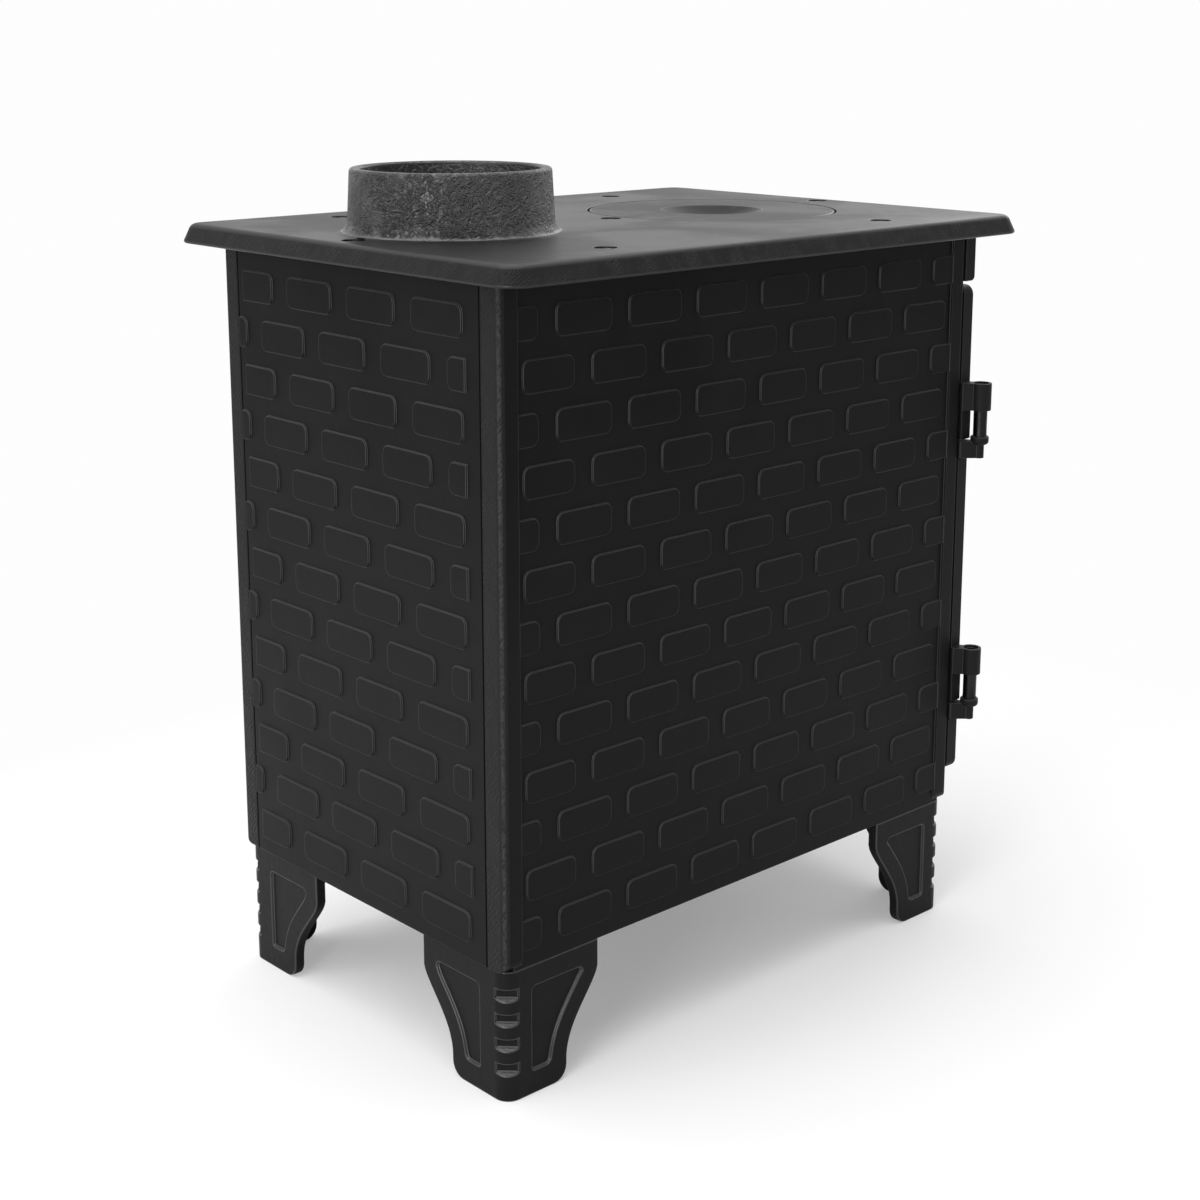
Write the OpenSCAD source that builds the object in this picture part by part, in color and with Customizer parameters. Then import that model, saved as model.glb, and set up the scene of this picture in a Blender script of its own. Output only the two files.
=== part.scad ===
// Box wood stove in cast iron: brick-relief panels, a drafted top casting with
// a flue collar and a hob lid, a glazed door on lift-off hinges, and four
// ogee-outlined legs. +Z is up, the door faces -Y, and the origin is at floor
// level under the middle of the whole stove.

/* [Body box] */
// Width over the corner posts
body_w = 332; // [300:1:400]
// Depth over the corner posts
body_d = 500; // [430:1:600]
// Height of the side, rear and front plates
panel_h = 499; // [450:1:560]
// Thickness of the cast plates
wall = 6; // [5:0.5:8]
// How far the flat borders stand above the field of a side panel
border_rise = 2; // [1.5:0.5:4]
// Width of the flat vertical borders of a side panel
border_w = 17; // [14:0.5:20]
// Width of a corner post on the rear face
post_w = 19.5; // [16:0.5:24]
// Radius of the vertical edge of a corner post
post_r = 5; // [2:0.5:7]
// Radius of a post's lower outer corner
post_lift = 9; // [4:0.5:12]
// Open seam between a post and the plate beside it
seam = 0.8; // [0.6:0.1:2]

/* [Brick relief] */
// Height of one raised brick
brick_h = 23; // [18:0.5:27]
// Height from one row of bricks to the next
row_pitch = 36.5; // [32:0.5:42]
// How far a brick stands above its field
brick_rise = 1.5; // [1:0.1:2.5]
// Corner radius of a brick
brick_r = 5.5; // [3:0.5:8]
// Distance from the panel's upper edge to the first row
row_top = 25; // [24:0.5:40]
// Length of a brick on a side panel
side_brick_l = 51; // [44:0.5:56]
// Length from one brick to the next on a side panel
side_pitch = 67.8; // [62:0.1:75]
// Length of a brick on the rear panel
rear_brick_l = 55.5; // [48:0.5:60]
// Length from one brick to the next on the rear panel
rear_pitch = 75.8; // [70:0.1:82]

/* [Top plate] */
// Thickness of the flat of the top plate
plate_t = 8; // [6:0.5:10]
// Height of the turned-down lip
lip_h = 15; // [12:0.5:20]
// Overhang of the lip at the sides
over_side = 37; // [25:1:45]
// Overhang of the lip at the rear
over_rear = 21; // [15:1:30]
// Overhang of the lip at the front
over_front = 27; // [22:1:35]
// How far the lip's face leans in up to its rounded top edge
lip_lean = 4; // [2:0.5:6]
// Thickness of the lip at its foot
lip_t = 9; // [7:0.5:12]
// Corner radius of the lip at its foot
lip_corner_r = 20; // [18:0.5:26]
// Radius of the top edge of the lip
lip_edge_r = 6.5; // [4:0.5:8]

/* [Flue collar] */
// Bore radius of the flue collar
flue_bore_r = 67.5; // [55:0.5:72]
// Wall of the collar at its rim
flue_wall = 7.5; // [6:0.5:10]
// Width of the ledge inside the collar that the pipe stands on
flue_stop = 6; // [4:0.5:8]
// Height of the collar above the top plate
collar_h = 48; // [35:1:60]
// Distance from the body's centre back to the collar's centre
collar_y = 156; // [145:1:160]
// Outward draft of the collar from rim to foot
collar_draft = 2; // [0:0.5:3]
// Radius of the fillet at the collar's foot
collar_fillet = 10; // [6:0.5:12]

/* [Hob lid] */
// Radius of the lid
lid_r = 102; // [90:0.5:106]
// Distance from the body's centre forward to the lid's centre
lid_y = 120; // [112:1:124]
// Thickness of the lid
lid_t = 7; // [5:0.5:7.5]
// Gap round the lid
lid_gap = 1.8; // [1:0.1:3]
// Width of the ledge that the lid rests on
lid_ledge = 11; // [8:0.5:14]
// Radius of the hollow in the lid
hollow_r = 42.5; // [30:0.5:46]
// Depth of the hollow
hollow_depth = 9.5; // [5:0.5:10]

/* [Screws] */
// Radius of the counterbores in the top plate
cbore_r = 8.5; // [7.5:0.5:10]
// Depth of the counterbores
cbore_depth = 5; // [4:0.5:5.5]
// Radius of a top screw's head
screw_head_r = 6.5; // [5.5:0.5:7]
// Radius of a top screw's shank
screw_r = 3.5; // [3:0.5:4]
// Length of a top screw's shank
screw_l = 18; // [14:1:24]
// Distance from the body's centre back to the rear side screws
screw_rear_y = 145; // [120:1:165]
// Distance from the body's centre forward to the front side screws
screw_front_y = 150; // [120:1:165]

/* [Legs] */
// Height of a leg, from the floor to the panels
leg_h = 101; // [90:1:130]
// Width of a leg along the side
leg_w_side = 89; // [75:1:100]
// Width of a leg along the front or rear
leg_w_end = 95; // [75:1:100]
// Width of a leg's foot along the side
foot_w_side = 58; // [50:1:68]
// Width of a leg's foot along the front or rear
foot_w_end = 62; // [50:1:68]
// Wall of a leg
leg_wall = 9; // [7:0.5:12]
// Inset of the legs from the posts
leg_inset = 2; // [1:0.5:4]
// Corner radius of a leg
leg_r = 12; // [9:0.5:14]
// Radius of the foot's outer lower corner
foot_r = 12; // [8:0.5:14]
// Number of notches up the corner of a leg
notch_n = 4; // [2:1:4]
// Height from one notch to the next
notch_pitch = 19.2; // [16:0.2:20]
// Height of one notch
notch_h = 9; // [6:0.5:12]
// Width of one notch across the corner
notch_w = 17; // [14:0.5:21]
// How far the floor of a notch slopes down outwards
notch_slope = 2; // [0:0.5:3]
// Depth of the recessed panels on a leg's faces
leg_recess = 2.2; // [1:0.1:3]

/* [Front and door] */
// Thickness of the fixed strip above the door
strip_t = 12; // [9:0.5:14]
// Height of the strip
strip_h = 41; // [36:0.5:54]
// Thickness of the door
door_t = 12; // [10:0.5:14]
// Gap between the door and the body's front
door_gap = 1; // [0.6:0.1:2]
// Gap between the door and the strip above it
door_top_gap = 4; // [2:0.5:6]
// Height of the door's lower edge above the panels' lower edge
door_lift = 25; // [20:1:40]
// Inset of the door's edges from the sides of the body
door_inset = 1.5; // [1:0.5:3]
// Corner radius of the door
door_r = 8; // [4:0.5:12]
// Width of the front beside the door opening
doorway_side = 36; // [35:0.5:44]
// Corner radius of the door opening
doorway_r = 14; // [6:1:20]
// Width of the plate that the door closes on, above and below the opening
doorway_land = 16; // [15:1:18]

/* [Door glass] */
// Width of the door beside the window
window_side = 74.5; // [73.5:0.5:90]
// Height of the window
window_h = 196; // [150:1:215]
// Distance from the door's upper edge to the window
window_top = 58; // [50:1:70]
// Corner radius of the window
window_r = 16; // [8:1:24]
// Bevel round the window
window_bevel = 4; // [2:0.5:5]
// Lap of the glass behind the window's edge
glass_lap = 12; // [9:0.5:14]
// Thickness of the glass
glass_t = 4; // [3:0.5:4.5]
// Thickness of the flat gasket between glass and door
gasket_t = 1; // [0.5:0.25:1.5]

/* [Hinges] */
// How far a hinge pin stands outboard of the side
hinge_out = 9; // [8.5:0.5:11]
// How far a hinge pin stands in front of the body
hinge_fwd = 15; // [14:0.5:22]
// Radius of a hinge knuckle
knuckle_r = 8.5; // [8:0.25:10.5]
// Height of a hinge knuckle
knuckle_h = 23; // [18:0.5:28]
// Radius of the shouldered part of a hinge pin
pin_r = 5.7; // [5.2:0.1:6.5]
// Radius of the upper part of a hinge pin
pin_top_r = 4.8; // [4:0.1:5.1]
// Height of pin left bare between lug and knuckle
pin_bare = 26; // [16:1:34]
// Height of a hinge lug
lug_h = 14.5; // [10:0.5:16]
// Height of the upper hinge's lug above the panels' lower edge
hinge_high = 302; // [270:1:310]
// Height of the lower hinge's lug above the panels' lower edge
hinge_low = 72; // [50:1:90]

/* [Latch and handle] */
// Distance from the door opening's edge in to the latch spindle
spindle_in = 18; // [17:0.5:20]
// Height of the spindle above the panels' lower edge
spindle_up = 226; // [200:1:260]
// Radius of the spindle
spindle_r = 6; // [5:0.5:7]
// Length of the latch tongue from the spindle's centre
tongue_l = 27; // [25:0.5:30]
// Length of the handle from the spindle's centre
handle_l = 84; // [70:1:88]
// Distance from the door's face out to the handle's grip centre
handle_reach = 34; // [28:1:40]
// Radius of the grip at its widest
grip_r = 9; // [7:0.5:11]

/* [Air control] */
// Radius of the air disc
air_r = 34; // [28:0.5:38]
// Thickness of the air disc
air_t = 5; // [4:0.5:6]
// Number of air holes
air_n = 4; // [3:1:4]
// Radius of an air hole
air_hole_r = 8; // [5:0.5:8.5]
// Distance of the air holes from the disc's centre
air_pitch_r = 21; // [18:0.5:23]
// Height of the air disc above the panels' lower edge
air_up = 71; // [66:1:80]

/* [Firebox] */
// Height of the grate bed above the panels' lower edge
bed_up = 92; // [88:1:110]
// Thickness of the grate bed
bed_t = 9; // [7:0.5:12]
// Width of the grate
grate_w = 170; // [140:2:190]
// Length of the grate
grate_l = 290; // [240:2:320]
// Number of slots across the grate
slot_n = 11; // [7:1:13]
// Thickness of a firebrick
firebrick_t = 25; // [20:1:30]
// Height of a firebrick
firebrick_h = 226; // [180:1:270]
// Number of firebricks along each side
firebrick_n = 3; // [2:1:4]
// Height of the baffle above the panels' lower edge
baffle_up = 407; // [390:1:420]
// Thickness of the baffle
baffle_t = 6; // [5:0.5:8]
// Length of the smoke gap in front of the baffle
smoke_gap = 174; // [150:1:200]

/* [Ash pan] */
// Width of the ash pan
pan_w = 206; // [170:2:210]
// Length of the ash pan
pan_l = 360; // [320:2:380]
// Height of the ash pan
pan_h = 42; // [34:1:46]
// Sheet thickness of the ash pan
pan_t = 2; // [1.5:0.25:3]
// How far the ash pan's bow handle stands out
bow_d = 26; // [20:1:28]

/* [Hidden] */
$fn = 48;
clear = 0.3;        // seat clearance between separate castings
run = 0.05;         // running clearance of a shaft in its bore, on the radius
fit = 0.03;         // clearance of a pin or screw fixed in its hole
over = 1;           // how far a cutter runs past the face that it opens
iron = "#2b2b2d";
steel = "#8c8c90";

// Levels
z0 = leg_h;                                 // lower edge of the panels
z_plate = z0 + panel_h;                     // underside of the top plate
z_top = z_plate + plate_t;                  // face of the top plate
z_lip = z_top - lip_h;                      // foot of the lip
// Planes of the body box, measured from its centre
half_w = body_w/2;
half_d = body_d/2;
field_x = half_w - border_rise;             // outer face of a side field
inner_x = field_x - wall;                   // inner face of a side panel
inner_y = half_d - wall;                    // inner face of the front and rear plates
plate_half_w = half_w - post_w - seam;      // half width of the front and rear plates
// Door
door_face = half_d + door_gap + door_t;     // door's outer face, in front of the centre
door_back = half_d + door_gap;
door_z0 = z0 + door_lift;
door_z1 = z_top - lip_h - strip_h - door_top_gap;
door_half_w = half_w - door_inset;
// Overall depth, which sets the origin at the middle of the stove
reach_front = door_face + handle_reach + grip_r;
reach_rear = half_d + over_rear;
y_mid = (reach_front - reach_rear)/2;
// Hinge
hinge_x = -(half_w + hinge_out);
hinge_y = -(half_d + hinge_fwd);
// Plate lip
lip_x = half_w + over_side;
lip_y0 = -(half_d + over_front);
lip_y1 = half_d + over_rear;
// Grate bed
bed_z = z0 + bed_up;
bed_top = bed_z + bed_t;
floor_t = wall + 1;
floor_top = z0 + floor_t;

// ---------- outlines ----------

// Points of an arc about c
function arc(c, r, a0, a1, n = 6) =
    [for (i = [0:n]) let (a = a0 + (a1 - a0)*i/n) [c[0] + r*cos(a), c[1] + r*sin(a)]];

// Points of a rectangle from lo to hi with rounded corners
function round_rect(lo, hi, r, n = 5) = concat(
    arc([hi[0] - r, lo[1] + r], r, -90, 0, n),
    arc([hi[0] - r, hi[1] - r], r, 0, 90, n),
    arc([lo[0] + r, hi[1] - r], r, 90, 180, n),
    arc([lo[0] + r, lo[1] + r], r, 180, 270, n));

// Rounded rectangular frame, t wide
module round_frame(lo, hi, r, t) {
    difference() {
        polygon(round_rect(lo, hi, r));
        polygon(round_rect(lo + [t, t], hi - [t, t], max(r - t, 0.5)));
    }
}

// A section swept along a rounded rectangle; the section's x runs outwards
module frame_sweep(lo, hi, r) {
    c0 = lo + [r, r];
    c1 = hi - [r, r];
    for (k = [[c1, 0], [[c0[0], c1[1]], 90], [c0, 180], [[c1[0], c0[1]], 270]])
        translate(k[0]) rotate([0, 0, k[1]]) {
            rotate_extrude(angle = 90) translate([r, 0]) children();
            translate([r, 0, 0]) rotate([90, 0, 0])
                linear_extrude((c1 - c0)[k[1]%180 == 0 ? 1 : 0]) children();
        }
}

// A sheet in the plane y, drawn as x and z, growing towards -Y by t
module upright(y, t) {
    translate([0, y, 0]) rotate([90, 0, 0]) linear_extrude(t) children();
}

// A sheet in the plane x, drawn as y and z, growing towards +X by t
module sideways(x, t) {
    translate([x, 0, 0]) rotate([90, 0, 90]) linear_extrude(t) children();
}

module hex_bolt(r, l, head_r, head_h) {
    translate([0, 0, -head_h]) cylinder(r = head_r, h = head_h, $fn = 6);
    translate([0, 0, -0.01]) cylinder(r = r, h = l + 0.01);
}

// Everything is built about the body's centre and moved onto the origin
module placed() {
    translate([0, y_mid, 0]) children();
}

// ---------- brick relief ----------

row_bottom = 12;    // least height left below the lowest row
rows = floor((panel_h - row_top - row_bottom - brick_h)/row_pitch) + 1;
function row_z(i) = z_plate - row_top - brick_h - i*row_pitch;

// Points of a brick from u = a to u = b, each end round, or square where it is cut
function brick(a, b, z, cut_a, cut_b) = concat(
    cut_b ? [[b, z], [b, z + brick_h]]
          : concat(arc([b - brick_r, z + brick_r], brick_r, -90, 0, 3),
                   arc([b - brick_r, z + brick_h - brick_r], brick_r, 0, 90, 3)),
    cut_a ? [[a, z + brick_h], [a, z]]
          : concat(arc([a + brick_r, z + brick_h - brick_r], brick_r, 90, 180, 3),
                   arc([a + brick_r, z + brick_r], brick_r, 180, 270, 3)));

// One row of bricks between lo and hi; what runs past them is cut square,
// or ends there with round corners where square is false
module brick_row(z, start, pitch, length, lo, hi, square_lo = true, square_hi = true) {
    n0 = floor((lo - start)/pitch);
    n1 = ceil((hi - start)/pitch);
    for (i = [n0:n1]) {
        a = start + i*pitch;
        b = a + length;
        if (b > lo + 2*brick_r && a < hi - 1.2*brick_r)
            polygon(brick(max(a, lo), min(b, hi), z, a < lo && square_lo, b > hi && square_hi));
    }
}

// ---------- top plate ----------

lip_chin = 1.5;         // height of the chamfer at the lip's foot

// Angle at which the rounded top edge takes over from the leaning face
function lip_turn() =
    let (dx = lip_lean + lip_edge_r, dz = lip_h - lip_edge_r - lip_chin)
    acos(lip_edge_r/norm([dx, dz])) - atan2(dz, dx);

// Section through the lip: u runs outward from the plate, z up from the foot
function lip_section(root) = concat(
    [[-root, lip_h - plate_t], [-lip_t, lip_h - plate_t], [-lip_t, 0], [-1, 0], [0, lip_chin]],
    arc([-lip_lean - lip_edge_r, lip_h - lip_edge_r], lip_edge_r, lip_turn(), 90, 6),
    [[-root, lip_h]]);

// The lip along one straight edge of length l, centred, facing +Y
module lip_edge(l) {
    rotate([90, 0, 90]) translate([0, 0, -l/2]) linear_extrude(l)
        polygon(lip_section(lip_corner_r));
}

// The lip round one corner, facing +X +Y, about the corner's own centre
module lip_corner() {
    rotate_extrude(angle = 90)
        translate([lip_corner_r, 0]) polygon(lip_section(lip_corner_r));
}

module lip_and_flat() {
    lx = lip_x - lip_corner_r;
    y1 = lip_y1 - lip_corner_r;
    y0 = lip_y0 + lip_corner_r;
    translate([0, 0, z_lip]) {
        translate([0, lip_y1, 0]) lip_edge(2*lx);
        translate([0, lip_y0, 0]) rotate([0, 0, 180]) lip_edge(2*lx);
        translate([lip_x, (y0 + y1)/2, 0]) rotate([0, 0, -90]) lip_edge(y1 - y0);
        translate([-lip_x, (y0 + y1)/2, 0]) rotate([0, 0, 90]) lip_edge(y1 - y0);
        translate([lx, y1, 0]) lip_corner();
        translate([-lx, y1, 0]) rotate([0, 0, 90]) lip_corner();
        translate([-lx, y0, 0]) rotate([0, 0, 180]) lip_corner();
        translate([lx, y0, 0]) rotate([0, 0, 270]) lip_corner();
    }
    translate([-lx, y0, z_plate]) cube([2*lx, y1 - y0, plate_t]);
}

rim_chamfer = 1.5;      // inner edge of the collar's rim
rim_r = 2.5;            // outer edge of the collar's rim

// Section of the flue collar, from its bore outwards
module collar_section() {
    r1 = flue_bore_r + flue_wall;
    r0 = r1 + collar_draft;
    f = collar_fillet;
    polygon(concat(
        [[flue_bore_r - flue_stop, -1], [flue_bore_r - flue_stop, 0], [flue_bore_r, 0],
         [flue_bore_r, collar_h - rim_chamfer], [flue_bore_r + rim_chamfer, collar_h]],
        arc([r1 - rim_r, collar_h - rim_r], rim_r, 90, 10, 3),
        arc([r0 + f, f], f, 180, 270, 6),
        [[r0 + f, -1]]));
}

screw_in = 6.2;                     // metal outside a side screw
hob_r = lid_r + lid_gap;            // recess for the lid
hob_hole_r = hob_r - lid_ledge;     // opening under the lid
hob_rim_t = z_plate - z_lip;        // depth of the rim below the plate
screw_x = half_w - screw_in - screw_r;      // side screws
screw_rear = half_d - 1.2 - screw_r;
screw_front = half_d + strip_t/4;
centre_y = 5;                       // middle screw, between collar and lid
rib_t = 6;                          // ribs that centre the plate on the side panels
rib_l = 40;
rib_h = 5;
rib_y = 60;                         // from the centre to each rib's middle
top_screw_at = [
    [screw_x, screw_rear_y], [-screw_x, screw_rear_y],
    [screw_x, -screw_front_y], [-screw_x, -screw_front_y],
    [0, screw_rear], [0, -screw_front], [0, -centre_y]];

module top_plate() {
    color(iron) placed() difference() {
        union() {
            lip_and_flat();
            translate([0, collar_y, z_top]) rotate_extrude($fn = 96) collar_section();
            translate([0, -lid_y, z_lip]) cylinder(r = hob_r + 9, h = hob_rim_t + 1, $fn = 96);
            translate([0, -centre_y, z_lip]) cylinder(r = 11, h = hob_rim_t + 1);
            for (sx = [-1, 1], sy = [-1, 1])
                translate([sx*(inner_x - 1 - rib_t/2) - rib_t/2, sy*rib_y - rib_l/2, z_plate - rib_h])
                    cube([rib_t, rib_l, rib_h + 1]);
        }
        translate([0, collar_y, z_lip - over])
            cylinder(r = flue_bore_r - flue_stop, h = lip_h + collar_h, $fn = 96);
        translate([0, -lid_y, z_lip - over])
            cylinder(r = hob_hole_r, h = lip_h + 2*over, $fn = 96);
        translate([0, -lid_y, z_top - lid_t]) cylinder(r = hob_r, h = lid_t + over, $fn = 96);
        for (p = top_screw_at) translate([p[0], p[1], 0]) {
            translate([0, 0, z_top - cbore_depth]) cylinder(r = cbore_r, h = cbore_depth + over);
            translate([0, 0, z_lip - over]) cylinder(r = screw_r + clear, h = lip_h + 2*over);
        }
    }
}

// Pan-headed screw with a slot, head down to z = 0
module pan_screw(head_r, head_h, r, l) {
    difference() {
        union() {
            rotate_extrude() polygon(concat(
                [[0, 0], [head_r, 0]],
                arc([head_r - 1.5, head_h - 1.5], 1.5, 0, 90, 3),
                [[0, head_h]]));
            translate([0, 0, -l]) cylinder(r = r, h = l + 0.5);
        }
        translate([-head_r - over, -0.9, head_h - 1.6]) cube([2*head_r + 2*over, 1.8, 1.6 + over]);
    }
}

module top_screws() {
    color(iron) placed() for (p = top_screw_at)
        translate([p[0], p[1], z_top - cbore_depth]) pan_screw(screw_head_r, 4, screw_r, screw_l);
}

module hob_lid() {
    ball_r = (hollow_r*hollow_r + hollow_depth*hollow_depth)/(2*hollow_depth);
    half_a = asin(hollow_r/ball_r);
    shell = 5;
    color(iron) placed() translate([0, -lid_y, z_top]) rotate_extrude($fn = 96) polygon(concat(
        [[0, -hollow_depth]],
        [for (i = [1:8]) let (a = half_a*i/8) [ball_r*sin(a), ball_r - hollow_depth - ball_r*cos(a)]],
        arc([lid_r - 1, -1], 1, 90, 0, 2),
        [[lid_r - 1.5, -lid_t], [hollow_r + 8, -lid_t], [hollow_r*0.75, -hollow_depth - shell],
         [0, -hollow_depth - shell]]));
}

// ---------- side, rear and front plates ----------

// A vertical edge post with its lower outer corner rounded, at the rear left corner
module corner_post() {
    r = post_r;
    intersection() {
        translate([0, 0, z0]) linear_extrude(panel_h) polygon(concat(
            [[-half_w, half_d - border_w], [-half_w + post_w, half_d - border_w],
             [-half_w + post_w, half_d]],
            arc([-half_w + r, half_d - r], r, 90, 180, 5)));
        upright(half_d, border_w) polygon(concat(
            arc([-half_w + post_lift, z0 + post_lift], post_lift, 180, 270, 8),
            [[-half_w + post_w, z0], [-half_w + post_w, z_plate], [-half_w, z_plate]]));
    }
}

field_past = 7;         // how far the field runs on under a post
field_half_d = half_d - border_w + field_past;

// A cast ledge along the inside of the left panel from y0 to y1, its top at z
module ledge(y0, y1, z, w) {
    translate([0, y1, 0]) rotate([90, 0, 0]) linear_extrude(y1 - y0) polygon([
        [-inner_x - 1, z - w - 5], [-inner_x, z - w - 5], [-inner_x + w, z - 4],
        [-inner_x + w, z], [-inner_x - 1, z]]);
}

// Corner bolts draw the front and rear plates to the side panels
bolt_z = [z0 + 32, z_plate - 38];
bolt_y = inner_y - 14;
bolt_r = 4;
bolt_bite = 11;         // depth of a bolt in its boss
boss_r = 9;
boss_face = plate_half_w + clear;
lug_t = 14;             // thickness of a lug
lug_tall = 26;          // its height
lug_reach = 11;         // from its bolt to its end
lug_x0 = plate_half_w - lug_t;

seal_lap = 4;           // how far the seal strip laps behind the plate
seal_t = 4;             // its thickness

// The strip behind the seam, open where a lug passes
module seal_flange() {
    difference() {
        translate([-half_w + post_w - 1, inner_y - clear - seal_t, z0])
            cube([1 + seam + seal_lap, seal_t, panel_h]);
        for (z = bolt_z)
            translate([-half_w + post_w - 2, inner_y - clear - seal_t - over, z - lug_tall/2 - 2])
                cube([4 + seam + seal_lap, seal_t + 2*over, lug_tall + 4]);
    }
}

base_lug = 22;          // width and depth of the lug for a base bolt
base_lug_h = 16;
base_bolt_x = inner_x - base_lug/2;
base_bolt_y = 110;
base_bolt_l = 18;
top_boss_r = 8;         // boss for a top screw
top_boss_l = 30;
baffle_z = z0 + baffle_up;

// Half a boss on the inside of a plate whose outer face is depth away from its axis
module top_boss(depth) {
    intersection() {
        translate([0, 0, z_plate - top_boss_l]) cylinder(r = top_boss_r, h = top_boss_l);
        translate([-depth, -top_boss_r - over, z_plate - top_boss_l])
            cube([depth + top_boss_r + over, 2*top_boss_r + 2*over, top_boss_l]);
    }
}

module left_panel() {
    difference() {
        union() {
            translate([-field_x, -field_half_d, z0]) cube([wall, 2*field_half_d, panel_h]);
            for (m = [0, 1]) mirror([0, m, 0]) {
                corner_post();
                seal_flange();
                for (z = bolt_z) translate([-field_x + 1, bolt_y, z]) rotate([0, 90, 0])
                    cylinder(r = boss_r, h = field_x - 1 - boss_face);
            }
            translate([-field_x + 0.5, half_d, 0]) rotate([90, 0, -90])
                linear_extrude(brick_rise + 0.5) side_bricks();
            ledge(-half_d + 14, half_d - 12, bed_z, 12);
            ledge(-half_d + smoke_gap, half_d - 12, baffle_z, 8);
            for (y = [screw_rear_y, -screw_front_y])
                translate([-screw_x, y, 0]) top_boss(field_x - screw_x);
            for (y = [-base_bolt_y, base_bolt_y])
                translate([-inner_x - 1, y - base_lug/2, floor_top])
                    cube([base_lug + 1, base_lug, base_lug_h]);
        }
        for (y = [screw_rear_y, -screw_front_y])
            translate([-screw_x, y, z_plate - screw_l]) cylinder(r = screw_r + fit, h = screw_l + over);
        for (y = [-base_bolt_y, base_bolt_y])
            translate([-base_bolt_x, y, floor_top - over])
                cylinder(r = bolt_r + fit, h = base_lug_h - 2 + over);
        for (y = [-bolt_y, bolt_y], z = bolt_z) translate([-boss_face - bolt_bite, y, z])
            rotate([0, 90, 0]) cylinder(r = bolt_r + fit, h = bolt_bite + over);
    }
}

// The side panel's bricks, drawn as distance from the rear edge and height
module side_bricks() {
    even_start = border_w + 0.3;
    odd_start = even_start + side_pitch/2 + 0.95;
    for (i = [0:rows - 1]) {
        if (i%2 == 0)
            brick_row(row_z(i), odd_start, side_pitch, side_brick_l,
                      border_w - 2, body_d - border_w + 2);
        else
            brick_row(row_z(i), even_start, side_pitch, side_brick_l,
                      border_w + 5, body_d - border_w - 1, false, false);
    }
}

module side_panel_left() { color(iron) placed() left_panel(); }
module side_panel_right() { color(iron) placed() mirror([1, 0, 0]) left_panel(); }

// A lug on the inside of the rear or front plate for a corner bolt
module plate_lug(z) {
    translate([lug_x0, bolt_y - lug_reach, z - lug_tall/2])
        cube([lug_t, inner_y + 1 - bolt_y + lug_reach, lug_tall]);
}

module plate_lugs() {
    for (m = [0, 1], z = bolt_z) mirror([m, 0, 0]) plate_lug(z);
}

module plate_lug_holes() {
    for (m = [0, 1], z = bolt_z) mirror([m, 0, 0]) translate([lug_x0 - over, bolt_y, z])
        rotate([0, 90, 0]) cylinder(r = bolt_r + clear, h = lug_t + 2*over);
}

rear_margin_l = 34.5;   // bare strip beside the left post
rear_margin_r = 28;     // bare strip beside the right post

// The rear panel's bricks, drawn as distance from the left side and height
module rear_bricks_relief() {
    odd_start = rear_margin_l + 3;
    even_start = odd_start + rear_pitch/2 - 1.8 - rear_pitch;
    for (i = [0:rows - 1]) {
        if (i%2 == 0)
            brick_row(row_z(i), odd_start, rear_pitch, rear_brick_l,
                      rear_margin_l, body_w - rear_margin_r);
        else
            brick_row(row_z(i), even_start, rear_pitch, rear_brick_l,
                      rear_margin_l, half_w + plate_half_w - 0.8);
    }
}

module rear_panel() {
    color(iron) placed() difference() {
        union() {
            translate([-plate_half_w, inner_y, z0]) cube([2*plate_half_w, wall, panel_h]);
            // Seen from behind, the left side lies on the right
            translate([-half_w, half_d - 0.5, 0]) mirror([0, 1, 0])
                rotate([90, 0, 0]) linear_extrude(brick_rise + 0.5) rear_bricks_relief();
            plate_lugs();
            translate([0, screw_rear, 0]) rotate([0, 0, -90]) top_boss(half_d - screw_rear);
        }
        plate_lug_holes();
        translate([0, screw_rear, z_plate - screw_l]) cylinder(r = screw_r + fit, h = screw_l + over);
    }
}

doorway_half_w = half_w - doorway_side;
doorway_z0 = door_z0 + doorway_land;
doorway_z1 = door_z1 - doorway_land;
lug_z = [z0 + hinge_high, z0 + hinge_low];      // underside of each hinge lug
strip_z0 = z_lip - strip_h;

// Outline of a hinge arm, from the pin to the corner of the front
module hinge_arm(r) {
    translate([hinge_x, hinge_y]) circle(r = r);
    polygon([[hinge_x - r, hinge_y], [hinge_x + r, hinge_y],
             [-half_w + 6, -half_d - strip_t], [-half_w + 6, -half_d - door_gap],
             [-half_w - 0.5, -half_d - door_gap]]);
}

hinge_root_x = -plate_half_w + 2;
cup_wall = 2;           // wall of the cup that holds a pin
cup_up = 4.5;           // how far it stands above its arm
cup_down = 3;           // how far it reaches down into the arm

// A hinge lug on the front plate: an arm, and at its end a cup for the pin
module hinge_lug(z) {
    r = pin_r + cup_wall;
    difference() {
        translate([0, 0, z]) union() {
            linear_extrude(lug_h) hinge_arm(4);
            translate([-half_w - 0.5, -half_d - strip_t, 0])
                cube([half_w + 0.5 + hinge_root_x, strip_t, lug_h]);
            translate([-plate_half_w, -half_d - 1, 0]) cube([2, wall, lug_h]);
            translate([hinge_x, hinge_y, lug_h]) rotate_extrude() polygon(concat(
                [[0, -cup_down]], arc([r - 3, 3 - cup_down], 3, -90, 0, 4),
                [[r, cup_up - 1], [r - 1, cup_up], [0, cup_up]]));
        }
        translate([hinge_x, hinge_y, z + lug_h - cup_down + 1.2])
            cylinder(r = pin_r + fit, h = cup_down + cup_up);
    }
}

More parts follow.
